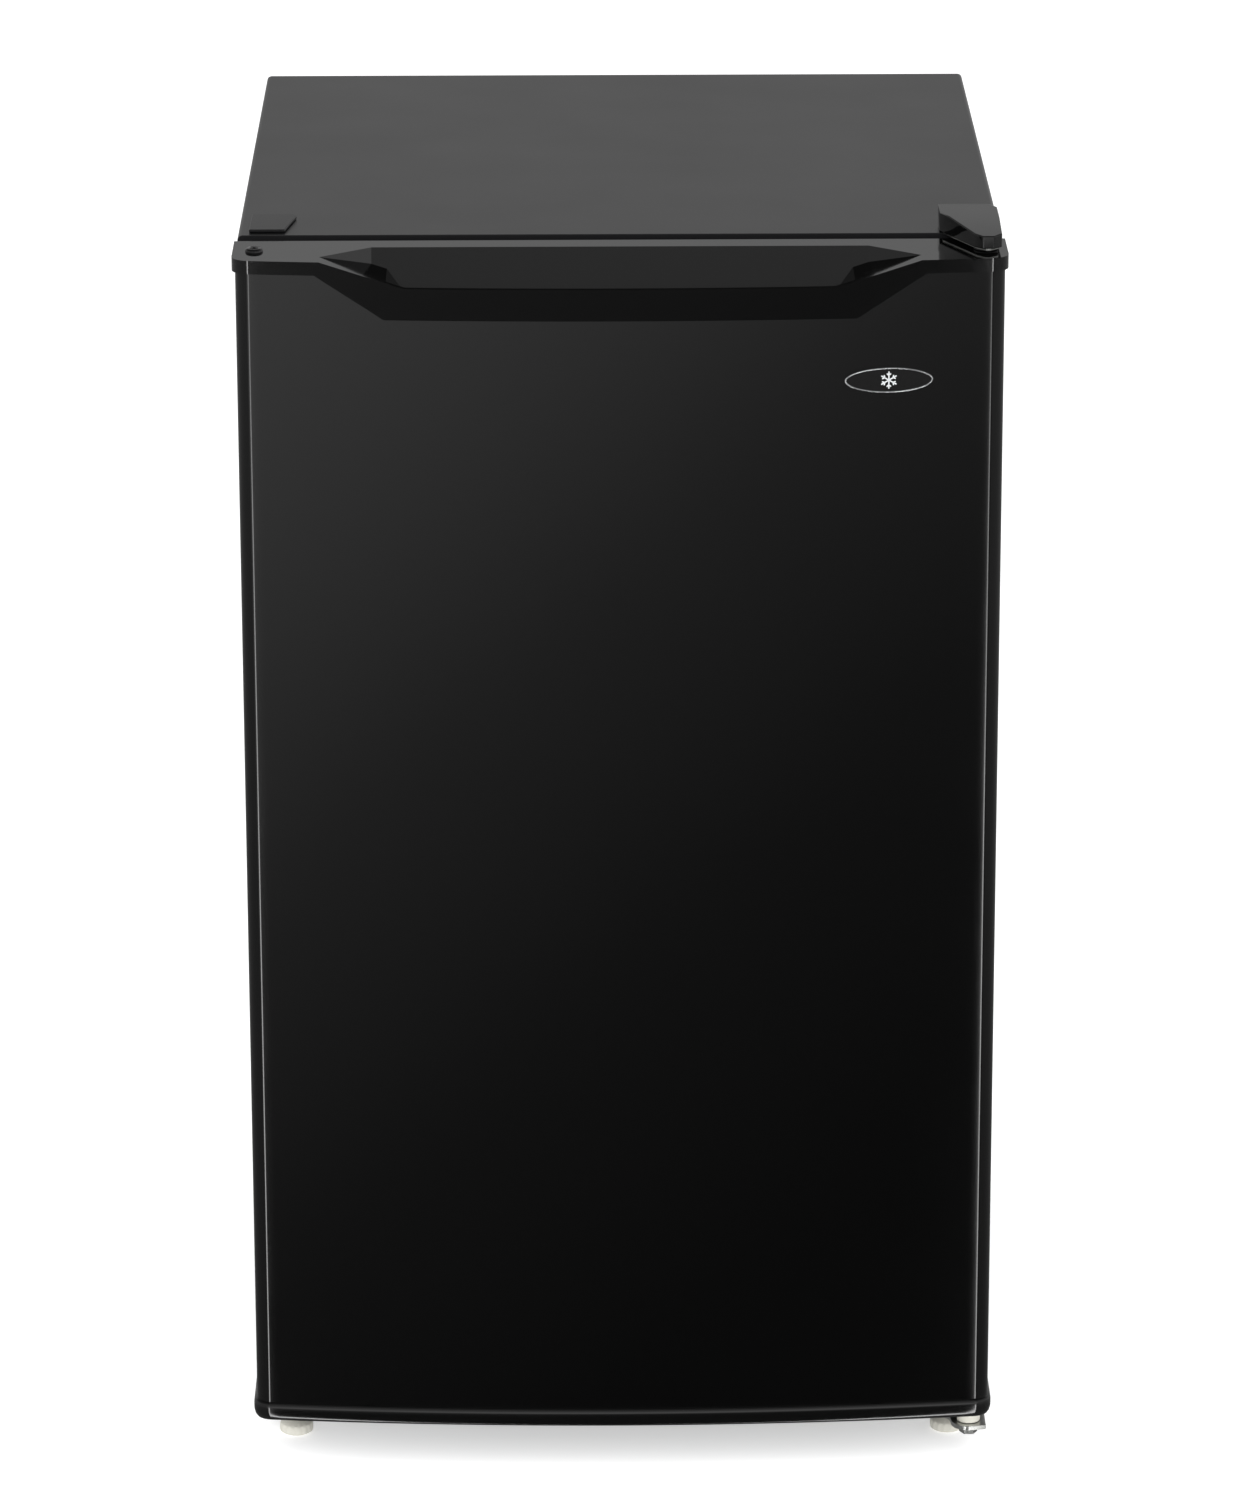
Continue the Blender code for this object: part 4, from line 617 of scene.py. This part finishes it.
def makeScrews():
    heads = {"top_hinge_screw_1": 1, "top_hinge_screw_2": 1, "bottom_hinge_screw_1": -1,
             "bottom_hinge_screw_2": -1}  # 1 for a head that faces up
    for node, up in heads.items():
        low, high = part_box(node)
        bm = crossScrew((high.x - low.x) / 2, high.z - low.z)
        spot = centreOf(node)
        turn = None if up > 0 else Matrix.Rotation(math.pi, 3, "X")
        placed(bm, (spot.x, spot.y, low.z if up > 0 else high.z), turn)
        finishPiece(pieceName(node), bm, finishes["zinc_steel"], "cabinet", [node])


# Plug in the spare hinge hole, with two small studs in a shallow recess on its top
plug = {"stem": 11 * mm, "segments": 40, "studSegments": 16}


def makePlug():
    low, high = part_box("hinge_hole_plug")
    radius = (high.x - low.x) / 2
    top = high.z - topCapBox[1].z
    profile = [(0, -plug["stem"]), (radius * 0.6, -plug["stem"]), (radius * 0.66, 0), (radius, 0),
               (radius, top * 0.45), (radius * 0.93, top * 0.8), (radius * 0.8, top), (radius * 0.5, top),
               (radius * 0.42, top * 0.7), (0, top * 0.7)]
    bm = turnedShape(profile, plug["segments"])
    spot = centreOf("hinge_hole_plug")
    placed(bm, (spot.x, spot.y, topCapBox[1].z))
    studs = []
    for side in (-1, 1):
        stud = turnedShape([(0, 0), (radius * 0.17, 0), (radius * 0.15, top * 0.35), (0, top * 0.42)],
                           plug["studSegments"])
        studs.append(placed(stud, (spot.x + side * radius * 0.24, spot.y, topCapBox[1].z + top * 0.69)))
    finishPiece("spareHolePlug", joined(bm, *studs), finishes["black_gloss"], "door",
                ["hinge_hole_plug"])


makeCamera()
makeDoorSkin()
makeGasket()
makeNameplate()
makeScrews()
makePlug()
print("door skin, gasket, nameplate and screws made")

# Door caps: drafted fronts, a scooped back to the pocket, rounded edges
caps = {"draft": 0.065, "wellBack": -214.75 * mm, "wellHalf": 152.5 * mm, "wellDepth": 45 * mm,
        "scoop": 12 * mm, "cornerStart": -234.8 * mm, "corner": 12 * mm, "edge": 0.8 * mm, "steps": 14}


# The door's plan as a closed loop, moved in by that much.
def doorOutline(inset):
    radius = bowRadius()
    centre = (0, topCapBox[0].y + radius)
    half, back, corner = topCapBox[1].x, topCapBox[1].y - inset, caps["corner"]
    lean = math.degrees(math.asin((half - corner) / (radius - corner)))
    cornerY = centre[1] - (radius - corner) * math.cos(math.radians(lean))
    right = arc((half - corner, cornerY), corner - inset, 0, lean - 90, caps["steps"])
    front = arc(centre, radius - inset, lean - 90, -lean - 90, doorSkin["bowSteps"])[1:-1]
    left = [(-x, y) for x, y in reversed(right)]
    return [(half - inset, back)] + right + front + left + [(inset - half, back)]


# True on the door's outer face: its sides, corners or bowed front.
def onOutline(spot, slack=0.5 * mm):
    radius = bowRadius()
    centre = topCapBox[0].y + radius
    if abs(spot.x) > topCapBox[1].x - slack:
        return True
    cornerX = topCapBox[1].x - caps["corner"]
    if abs(spot.x) > cornerX and spot.y < caps["cornerStart"] + 1 * mm:
        reach = math.hypot(abs(spot.x) - cornerX, spot.y - caps["cornerStart"])
        return reach > caps["corner"] - 2 * slack
    return math.hypot(spot.x, spot.y - centre) > radius - slack and spot.y < caps["cornerStart"]


# Leans the outer face in towards its foot, as a moulding's draft does.
def draftFront(bm, top):
    for v in bm.verts:
        if onOutline(v.co):
            share = min(1, max(0, (caps["cornerStart"] - v.co.y) / caps["corner"]))
            v.co.y += caps["draft"] * share * (top - v.co.z)


def makeCaps():
    top = topCapBox[1].z
    bm = copyOf("door_top_cap")
    for v in bm.verts:
        if abs(v.co.y - caps["wellBack"]) < 0.3 * mm and abs(v.co.x) < caps["wellHalf"]:
            v.co.y -= caps["scoop"] * (top - v.co.z) / caps["wellDepth"]
    draftFront(bm, top)
    refine("door_top_cap", "topCapWithHandle", caps["edge"], 3, start=bm)
    low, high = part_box("door_bottom_cap")
    tall = high.z - low.z
    band = [(2.4 * mm, 2.5 * mm), (2.4 * mm, tall), (1.3 * mm, tall), (0.6 * mm, tall - 0.4 * mm),
            (0.15 * mm, tall - 1.6 * mm), (0, tall - 3.4 * mm), (0, tall * 0.5), (0.2 * mm, tall * 0.34),
            (0.8 * mm, tall * 0.17), (1.8 * mm, tall * 0.05), (3.2 * mm, 0)]
    bm = swept([[(x, y, low.z + z) for x, y in doorOutline(inset)] for inset, z in band], closed=False)
    finishPiece("bottomCap", bm, finishOf["door_bottom_cap"], "door",
                ["door_bottom_cap"], angle=50)


# Pieces whose CAD shape is right get rounded edges
softened = {
    "hinge_hole_cap": ("spareHingeHoleCap", 0.5, 2),
    "cabinet_shell": ("cabinetShell", 0.45, 2), "top_hinge_plate": ("upperHingePlate", 0.3, 2),
    "top_hinge_washer": ("hingeWasher", 0.25, 2), "bottom_hinge_plate": ("lowerHingePlate", 0.4, 2),
    "bottom_hinge_pin": ("lowerHingePin", 0.35, 2), "bottom_hinge_spacer": ("lowerHingeSpacer", 0.3, 2),
    "back_panel": ("backPanel", 0.2, 1), "base_pan": ("basePan", 0.35, 2),
    "compressor_bay_panel": ("bayWall", 0.35, 2), "compressor_rail": ("compressorRail", 0.35, 2),
    "relay_cover": ("relayCover", 1.0, 3), "cord_gland": ("cordGland", 0.6, 2),
    "cabinet_liner": ("cabinetLiner", 0.5, 2), "door_liner": ("doorLiner", 0.8, 3),
    "freezer_box": ("evaporatorBox", 0.35, 2), "freezer_frame": ("freezerFrame", 0.7, 3),
    "freezer_flap": ("freezerFlap", 0.5, 2), "drip_tray": ("dripTray", 0.5, 2),
    "shelf_upper_glass": ("upperShelfGlass", 0.4, 2), "shelf_lower_glass": ("lowerShelfGlass", 0.4, 2),
    "shelf_upper_trim": ("upperShelfTrim", 0.4, 2), "shelf_lower_trim": ("lowerShelfTrim", 0.4, 2),
    "crisper_cover": ("crisperGlass", 0.4, 2), "crisper_drawer": ("crisperDrawer", 0.6, 3),
    "door_bin_upper": ("upperDoorBin", 0.6, 3), "door_bin_middle": ("middleDoorBin", 0.6, 3),
    "bottle_rail": ("bottleRail", 0.6, 3), "thermostat_housing": ("thermostatHousing", 0.6, 2),
    "defrost_button": ("defrostButton", 0.5, 3), "door_bush_bottom": ("lowerHingeBush", 0.3, 2),
    "rear_foot_left": ("rearFootLeft", 0.8, 3), "rear_foot_right": ("rearFootRight", 0.8, 3),
    "filter_drier": ("filterDrier", 0.3, 2),
}


# Control knob: ribbed grip, numbers round its face
knob = {"ribs": 40, "ribDepth": 0.45 * mm, "boreGap": 0.4 * mm, "numbers": 8, "digitRadius": 11.8 * mm,
        "digitSize": 4.2 * mm, "digitThick": 0.08 * mm, "sweep": 260}


# Printed characters as a mesh in the XY plane, centred on the origin.
def textPiece(body, size, thick):
    curve = bpy.data.curves.new("text", "FONT")
    curve.body = body
    curve.size = size
    curve.extrude = thick
    curve.align_x = "CENTER"
    curve.align_y = "CENTER"
    holder = bpy.data.objects.new("text", curve)
    made = bpy.data.meshes.new_from_object(holder)
    bpy.data.objects.remove(holder)
    bm = bmesh.new()
    bm.from_mesh(made)
    bpy.data.meshes.remove(made)
    return bm


def makeKnob():
    low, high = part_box("thermostat_knob")
    centre = centreOf("thermostat_knob")
    radius, length = (high.x - low.x) / 2, high.y - low.y
    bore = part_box("defrost_button")[1].x - centre.x + knob["boreGap"]
    profile = [(bore, 0), (radius, 0), (radius, length * 0.12), (radius * 0.97, length * 0.16),
               (radius * 0.97, length * 0.86), (radius * 0.93, length * 0.95), (radius * 0.87, length),
               (bore + 0.8 * mm, length), (bore, length - 0.6 * mm), (bore, 0)]
    bm = turnedShape(profile, knob["ribs"] * 4)
    for v in bm.verts:
        if length * 0.14 < v.co.z < length * 0.9 and v.co.xy.length > radius * 0.95:
            turn = math.atan2(v.co.y, v.co.x) * knob["ribs"]
            v.co.xy *= 1 - knob["ribDepth"] / radius * (0.5 - 0.5 * math.cos(turn))
    toFront = Matrix.Rotation(math.radians(90), 3, "X")
    placed(bm, (centre.x, high.y, centre.z), toFront)
    finishPiece("thermostatKnob", bm, finishes["grey_plastic"], "knob",
                ["thermostat_knob"])
    digits = []
    for number in range(knob["numbers"]):
        turn = math.radians(90 + knob["sweep"] / 2 - knob["sweep"] * number / (knob["numbers"] - 1))
        digit = textPiece(str(number), knob["digitSize"], knob["digitThick"])
        place = Vector((math.cos(turn), math.sin(turn), 0)) * knob["digitRadius"]
        digits.append(placed(digit, place, Matrix.Rotation(turn - math.pi / 2, 3, "Z")))
    numbers = placed(joined(*digits), (centre.x, low.y, centre.z), toFront)
    finishPiece("knobNumbers", numbers, darkInk, "knob")


# Compressor: two drawn shells with a welded lip, a foot plate and its nuts
compressor = {"plate": 3 * mm, "radius": 82.5 * mm, "halfLength": 56 * mm, "steps": 96, "footCorner": 10 * mm,
              "footEdge": 0.6 * mm, "nutRadius": 5 * mm, "nutHigh": 4 * mm, "nutEdge": 0.4 * mm,
              "washerRadius": 7.5 * mm, "washerHigh": 1 * mm, "grommets": 4}


def makeCompressor():
    low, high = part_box("compressor")
    centre = (low + high) / 2
    c = compressor
    plate, radius, halfLength = c["plate"], c["radius"], c["halfLength"]
    base, height = low.z + plate * 0.6, high.z - low.z - plate * 0.6
    seam = height * 0.5
    profile = [(0, 0), (radius * 0.62, 0), (radius * 0.8, height * 0.05), (radius * 0.93, height * 0.17),
               (radius * 0.985, height * 0.32), (radius, seam - 2 * mm), (radius * 1.03, seam - 1 * mm),
               (radius * 1.035, seam + 1 * mm), (radius * 1.03, seam + 3 * mm),
               (radius * 0.985, seam + 3.5 * mm),
               (radius * 0.97, height * 0.66), (radius * 0.9, height * 0.83), (radius * 0.75, height * 0.94),
               (radius * 0.5, height * 0.99), (0, height)]
    bm = placed(turnedShape(profile, c["steps"]), (centre.x, centre.y, base),
                stretch=(1, halfLength / radius, 1))
    footPlate = box((low.x, low.y, low.z), (high.x, high.y, low.z + plate))
    soften(footPlate, c["footCorner"], 6, choose=lambda e: abs(e.verts[0].co.z - e.verts[1].co.z) > 1 * mm)
    soften(footPlate, c["footEdge"], 2, sharper=60)
    finishPiece("compressorShell", joined(bm, footPlate), finishes["black_steel"], "cabinet",
                ["compressor"], angle=38)
    nuts = []
    wide, thick = c["washerRadius"], c["washerHigh"]
    for number in range(1, c["grommets"] + 1):
        spot = centreOf(f"compressor_grommet_{number}")
        nut = bmesh.new()
        bmesh.ops.create_cone(nut, cap_ends=True, segments=6, radius1=c["nutRadius"], radius2=c["nutRadius"],
                              depth=c["nutHigh"])
        soften(nut, c["nutEdge"], 2, sharper=40)
        nuts.append(placed(nut, (spot.x, spot.y, low.z + plate + c["nutHigh"] / 2)))
        washer = turnedShape([(0, 0), (wide, 0), (wide, thick), (0, thick)], 32)
        nuts.append(placed(washer, (spot.x, spot.y, low.z + plate)))
    finishPiece("compressorNuts", joined(*nuts), finishes["zinc_steel"], "cabinet")


def makeGrommets():
    for number in range(1, compressor["grommets"] + 1):
        node = f"compressor_grommet_{number}"
        low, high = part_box(node)
        r, h = (high.x - low.x) / 2, high.z - low.z
        profile = [(0, 0), (r * 0.94, 0), (r, h * 0.08), (r, h * 0.28), (r * 0.9, h * 0.36),
                   (r * 0.74, h * 0.45), (r * 0.74, h * 0.58), (r * 0.9, h * 0.66), (r, h * 0.74),
                   (r, h * 0.93), (r * 0.93, h), (0, h)]
        spot = centreOf(node)
        bm = placed(turnedShape(profile, 40), (spot.x, spot.y, low.z))
        finishPiece(f"compressorGrommet{number}", bm, finishes["rubber"], "cabinet", [node])


# Levelling feet: ribbed nylon pad on a threaded steel stud
feet = {"padHigh": 9 * mm, "hubRadius": 4.6 * mm, "ribs": 16, "ribDepth": 0.04, "studStart": 8.6 * mm,
        "threadStart": 8.8 * mm, "threadPitch": 1.25 * mm, "threadRoot": 3.35 * mm, "threadCrest": 4 * mm,
        "plain": 10 * mm, "tip": 2.8 * mm, "steps": 96, "studSteps": 32}


def makeFeet():
    s = feet
    for side in ("left", "right"):
        node = f"front_foot_{side}"
        low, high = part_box(node)
        spot = centreOf(node)
        r = (high.x - low.x) / 2
        pad = [(0, 0), (r * 0.86, 0), (r * 0.97, 0.8 * mm), (r, 1.8 * mm), (r, 5 * mm), (r * 0.93, 6.4 * mm),
               (r * 0.6, s["studStart"]), (s["hubRadius"], s["padHigh"]), (0, s["padHigh"])]
        bm = turnedShape(pad, s["steps"])
        for v in bm.verts:
            if 1.2 * mm < v.co.z < 6 * mm and v.co.xy.length > r * 0.9:
                ripple = math.cos(s["ribs"] * math.atan2(v.co.y, v.co.x))
                v.co.xy *= 1 - s["ribDepth"] * (0.5 + 0.5 * ripple)
        placed(bm, (spot.x, spot.y, low.z))
        finishPiece(f"levellingPad{side.title()}", bm, finishes["nylon"], f"foot_{side}", [node])
        thread = [(0, s["studStart"])]
        root, crest, pitch, tall = s["threadRoot"], s["threadCrest"], s["threadPitch"], high.z - low.z
        for i in range(int((tall - s["plain"]) / pitch)):
            z = s["threadStart"] + pitch * i
            thread += [(root, z), (crest, z + 0.4 * pitch), (crest, z + 0.6 * pitch)]
            thread.append((root, z + 0.96 * pitch))
        thread += [(s["tip"], tall), (0, tall)]
        stud = placed(turnedShape(thread, s["studSteps"]), (spot.x, spot.y, low.z))
        finishPiece(f"levellingStud{side.title()}", stud, finishes["zinc_steel"], f"foot_{side}")


# Back: pressed beads in the panel and a row of screws
back = {"beads": 6, "beadWide": 9 * mm, "beadProud": 1.4 * mm, "beadSink": 0.2 * mm, "beadReach": 0.19,
        "screwRadius": 3.6 * mm, "screwHigh": 1.6 * mm, "screwMargin": 6 * mm}


def makeBack():
    low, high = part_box("back_panel")
    toBack = Matrix.Rotation(math.radians(-90), 3, "X")
    beads = []
    pitch = (high.x - low.x) / (back["beads"] + 1)
    for i in range(back["beads"]):
        x = low.x + pitch * (i + 1)
        bead = bmesh.new()
        bmesh.ops.create_uvsphere(bead, u_segments=24, v_segments=12, radius=1)
        wide = back["beadWide"] / 2
        bmesh.ops.scale(bead, vec=(wide, back["beadProud"], wide), verts=bead.verts)
        for v in bead.verts:
            v.co.z += back["beadReach"] if v.co.z > 0 else -back["beadReach"]
        beads.append(placed(bead, (x, high.y - back["beadSink"], (low.z + high.z) / 2)))
    finishPiece("backPanelBeads", joined(*beads), finishOf["back_panel"], "cabinet",
                angle=60)
    margin = back["screwMargin"]
    sides = (low.x + margin, high.x - margin)
    spots = [(x, z) for x in (sides[0], 0, sides[1]) for z in (low.z + margin, high.z - margin)]
    spots += [(x, (low.z + high.z) / 2) for x in sides]
    heads = []
    for x, z in spots:
        heads.append(placed(crossScrew(back["screwRadius"], back["screwHigh"]), (x, high.y, z), toBack))
    finishPiece("backPanelScrews", joined(*heads), finishes["zinc_steel"], "cabinet")


# Evaporator: refrigerant channels raised between the bonded sheets
channels = {"radius": 2.4 * mm, "pitch": 26 * mm, "margin": 26 * mm, "sheet": 1.5 * mm, "flatten": 0.5}


# A tube through the points, as a mesh.
def wire(points, radius, segments=6):
    curve = bpy.data.curves.new("wire", "CURVE")
    curve.dimensions = "3D"
    curve.bevel_depth = radius
    curve.bevel_resolution = segments // 2
    curve.use_fill_caps = True
    line = curve.splines.new("POLY")
    line.points.add(len(points) - 1)
    for point, spot in zip(line.points, points):
        point.co = (*spot, 1)
    holder = bpy.data.objects.new("wire", curve)
    mesh = bpy.data.meshes.new_from_object(holder)
    bpy.data.objects.remove(holder)
    bm = bmesh.new()
    bm.from_mesh(mesh)
    bpy.data.meshes.remove(mesh)
    bmesh.ops.remove_doubles(bm, verts=bm.verts, dist=0.001 * mm)
    bmesh.ops.recalc_face_normals(bm, faces=bm.faces)
    return bm


# Rows back and forth, joined by half circles
def serpentine(x0, x1, y0, y1, pitch):
    rows = int((y1 - y0) / pitch)
    points = []
    for row in range(rows):
        y = y0 + pitch * row
        ends = (x0, x1) if row % 2 == 0 else (x1, x0)
        points += [(ends[0], y, 0), (ends[1], y, 0)]
        if row < rows - 1:
            side = 1 if ends[1] > 0 else -1
            for degrees in range(20, 180, 20):
                turn = math.radians(degrees)
                over, along = math.sin(turn), 1 - math.cos(turn)
                points.append((ends[1] + side * pitch / 2 * over, y + pitch / 2 * along, 0))
    return points


def makeChannels():
    low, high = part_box("freezer_box")
    sheet, margin, pitch = channels["sheet"], channels["margin"], channels["pitch"]
    shapes = []
    for z in (low.z + sheet, high.z - sheet, low.z, high.z):
        path = serpentine(low.x + margin, high.x - margin, low.y + margin, high.y - margin / 2, pitch)
        tube = wire(path, channels["radius"])
        shapes.append(placed(tube, (0, 0, z), stretch=(1, 1, channels["flatten"])))
    finishPiece("evaporatorChannels", joined(*shapes), finishes["aluminium"], "cabinet",
                angle=50)


# Clear mouldings: stiffening ribs and the drawer's finger grip
ribs = {"counts": {"door_bin_upper": 9, "door_bin_middle": 9, "crisper_drawer": 11}, "inset": 2.6 * mm,
        "half": (0.8 * mm, 0.9 * mm), "ends": 6 * mm, "edge": 0.4 * mm, "gripHalf": 50 * mm,
        "gripProud": 6 * mm, "gripRoot": 0.5 * mm, "gripDrop": (9 * mm, 6 * mm), "gripEdge": 1.2 * mm}


def makeRibs():
    halfX, halfY = ribs["half"]
    for node, count in ribs["counts"].items():
        low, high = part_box(node)
        row = []
        inside = high.y - ribs["inset"] if "bin" in node else low.y + ribs["inset"]
        for i in range(count):
            x = low.x + (high.x - low.x) * (i + 1) / (count + 1)
            rib = box((x - halfX, inside - halfY, low.z + ribs["ends"]),
                      (x + halfX, inside + halfY, high.z - ribs["ends"]))
            row.append(soften(rib, ribs["edge"], 2))
        finishPiece(pieceName(node) + "Ribs", joined(*row), finishes["clear_plastic"], bodyOf[node])
    low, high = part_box("crisper_drawer")
    under, over = ribs["gripDrop"]
    grip = box((-ribs["gripHalf"], low.y - ribs["gripProud"], high.z - under),
               (ribs["gripHalf"], low.y + ribs["gripRoot"], high.z - over))
    soften(grip, ribs["gripEdge"], 3)
    finishPiece("crisperGrip", grip, finishes["clear_plastic"], "cabinet")


# Hinge cover: the nose is lifted towards its front
hingeCover = {"noseBack": 14 * mm, "under": 10 * mm, "skin": 0.3 * mm, "lift": 3 * mm, "edge": 0.8 * mm}


def makeHingeCover():
    low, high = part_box("top_hinge_cover")
    bm = copyOf("top_hinge_cover")
    bend = faceY - hingeCover["noseBack"]
    for v in bm.verts:
        if v.co.y < bend and high.z - hingeCover["under"] < v.co.z < high.z - hingeCover["skin"]:
            v.co.z += hingeCover["lift"] * min(1, (bend - v.co.y) / (bend - low.y))
    refine("top_hinge_cover", "hingeCover", hingeCover["edge"], 3, start=bm)


darkInk = plasticOf("printedDarkInk", "#1a1a1c", 0.6)
makeCaps()
makeHingeCover()
for node, (name, radius, segments) in softened.items():
    refine(node, name, radius * mm, segments, sharper=40)
print("caps and", len(softened), "softened pieces made")
makeKnob()
makeCompressor()
makeGrommets()
makeFeet()
makeBack()
makeChannels()
makeRibs()
print("knob, compressor, feet, back, evaporator and ribs made")

for node, obj in frame["nodes"].items():
    if not obj.hide_render:
        obj.data.materials.clear()
        obj.data.materials.append(finishOf[node])
print("finishes given to", len(frame["nodes"]), "nodes")


# Studio: a pale sweep, a softbox for matt surfaces, and a sky that gives the reflections
studio = {
    "floor": "#f4f4f4", "floorHalf": 60, "paperGlow": 0.42, "paperGrain": 3,
    "skyLow": -0.5, "skyHigh": 1.0, "skyLean": -0.17,  # the sky's heights are the ray's z, leaned by its x
    "skyStops": [(-0.5, 0.03), (-0.40, 0.03), (-0.343, 0.09), (-0.289, 0.26), (-0.227, 0.72), (-0.165, 1.2),
                 (0.0, 0.7), (0.18, 0.35), (0.32, 0.48), (0.46, 0.56), (0.6, 0.16), (1.0, 0.12)],
    "stripTurn": 22, "stripHalf": 2.5, "stripEdges": (0.7, 1.3),  # bright strips either side of the camera
    "stripFrom": (-0.2, 0.2), "stripTo": (-0.33, 9.0),  # height and strength
    "flankTurn": (26, 36), "flankFrom": (-0.42, 0.17), "flankTo": (-0.16, 0.42),  # for the sides
    "fill": 0.8, "sky": 1.0,
    "softbox": 180, "softboxSize": (3.0, 2.0), "softboxPlace": (0, -3.5, 2.2), "softboxTilt": 60}


def makeFloor():
    bm = bmesh.new()
    bmesh.ops.create_grid(bm, x_segments=1, y_segments=1, size=studio["floorHalf"])
    mesh = bpy.data.meshes.new("floor")
    bm.to_mesh(mesh)
    bm.free()
    floor = bpy.data.objects.new("floor", mesh)
    bpy.context.scene.collection.objects.link(floor)
    paper, tree, shader = startMaterial("paperSweep", studio["floor"], 0.9)
    shader.inputs["Specular IOR Level"].default_value = 0.0
    shader.inputs["Emission Color"].default_value = (1, 1, 1, 1)
    shader.inputs["Emission Strength"].default_value = studio["paperGlow"]
    bump(tree, shader, noise(tree, studio["paperGrain"], 2), 0.02)
    mesh.materials.append(paper)
    floor.visible_glossy = False


# Matt surfaces see an even fill, the camera sees white, and only reflections see the sky's shape
def makeSky():
    world = bpy.data.worlds.new("studio")
    bpy.context.scene.world = world
    world.use_nodes = True
    tree = world.node_tree
    background = tree.nodes["Background"]
    low, high = studio["skyLow"], studio["skyHigh"]
    ray = addNode(tree, "TexCoord").outputs["Generated"]
    parts = addNode(tree, "SeparateXYZ", sockets={"Vector": ray})
    lean = addNode(tree, "Math", {"operation": "MULTIPLY"}, {0: parts.outputs["X"], 1: studio["skyLean"]})
    tall = addNode(tree, "Math", {"operation": "ADD"}, {0: parts.outputs["Z"], 1: lean.outputs[0]})
    level = addNode(tree, "MapRange", sockets={"Value": tall.outputs[0], "From Min": low, "From Max": high})
    ramp = addNode(tree, "ValToRGB", sockets={"Fac": level.outputs["Result"]})
    points = ramp.color_ramp.elements
    while len(points) < len(studio["skyStops"]):
        points.new(0.5)
    for point, (height, grey) in zip(points, studio["skyStops"]):
        point.position = (height - low) / (high - low)
        point.color = (grey, grey, grey, 1)
    flat = addNode(tree, "Math", {"operation": "ABSOLUTE"}, {0: parts.outputs["X"]})
    ahead = addNode(tree, "Math", {"operation": "MULTIPLY"}, {0: parts.outputs["Y"], 1: -1.0})
    around = addNode(tree, "Math", {"operation": "ARCTAN2"}, {0: flat.outputs[0], 1: ahead.outputs[0]})
    offset = addNode(tree, "Math", {"operation": "SUBTRACT"},
                     {0: around.outputs[0], 1: math.radians(studio["stripTurn"])})
    away = addNode(tree, "Math", {"operation": "ABSOLUTE"}, {0: offset.outputs[0]})
    inner, outer = [math.radians(studio["stripHalf"]) * share for share in studio["stripEdges"]]
    strip = addNode(tree, "MapRange", sockets={"Value": away.outputs[0], "From Min": inner,
                                               "From Max": outer, "To Min": 1.0, "To Max": 0.0})
    first, last = studio["stripFrom"], studio["stripTo"]
    rise = addNode(tree, "MapRange", sockets={"Value": parts.outputs["Z"], "From Min": first[0],
                                              "From Max": last[0], "To Min": first[1], "To Max": last[1]})
    glow = addNode(tree, "Math", {"operation": "MULTIPLY"},
                   {0: strip.outputs["Result"], 1: rise.outputs["Result"]})
    near, far = [math.radians(turn) for turn in studio["flankTurn"]]
    flank = addNode(tree, "MapRange", sockets={"Value": around.outputs[0], "From Min": near,
                                               "From Max": far, "To Min": 0.0, "To Max": 1.0})
    below = addNode(tree, "Math", {"operation": "LESS_THAN"}, {0: parts.outputs["Z"], 1: 0.0})
    share = addNode(tree, "Math", {"operation": "MULTIPLY"},
                    {0: below.outputs[0], 1: flank.outputs["Result"]})
    first, last = studio["flankFrom"], studio["flankTo"]
    sides = addNode(tree, "MapRange", sockets={"Value": parts.outputs["Z"], "From Min": first[0],
                                               "From Max": last[0], "To Min": first[1], "To Max": last[1]})
    shaded = addNode(tree, "Mix", {"data_type": "RGBA"}, {0: share.outputs[0], 6: ramp.outputs["Color"]})
    tree.links.new(sides.outputs["Result"], shaded.inputs[7])
    lit = addNode(tree, "Mix", {"data_type": "RGBA", "blend_type": "ADD"}, {0: 1.0, 6: shaded.outputs[2]})
    tree.links.new(glow.outputs[0], lit.inputs[7])
    path = addNode(tree, "LightPath")
    fill = studio["fill"]
    soft = addNode(tree, "Mix", {"data_type": "RGBA"},
                   {0: path.outputs["Is Diffuse Ray"], 6: lit.outputs[2], 7: (fill, fill, fill, 1)})
    seen = addNode(tree, "Mix", {"data_type": "RGBA"},
                   {0: path.outputs["Is Camera Ray"], 6: soft.outputs[2], 7: (1, 1, 1, 1)})
    tree.links.new(seen.outputs[2], background.inputs["Color"])
    background.inputs["Strength"].default_value = studio["sky"]


def makeSoftbox():
    data = bpy.data.lights.new("softbox", "AREA")
    data.shape = "RECTANGLE"
    data.size, data.size_y = studio["softboxSize"]
    data.energy = studio["softbox"]
    lamp = bpy.data.objects.new("softbox", data)
    lamp.location = studio["softboxPlace"]
    lamp.rotation_euler = (math.radians(studio["softboxTilt"]), 0, 0)
    lamp.visible_glossy = False
    bpy.context.scene.collection.objects.link(lamp)


makeFloor()
makeSky()
makeSoftbox()
bpy.context.scene.view_settings.view_transform = "Standard"
print("studio made")
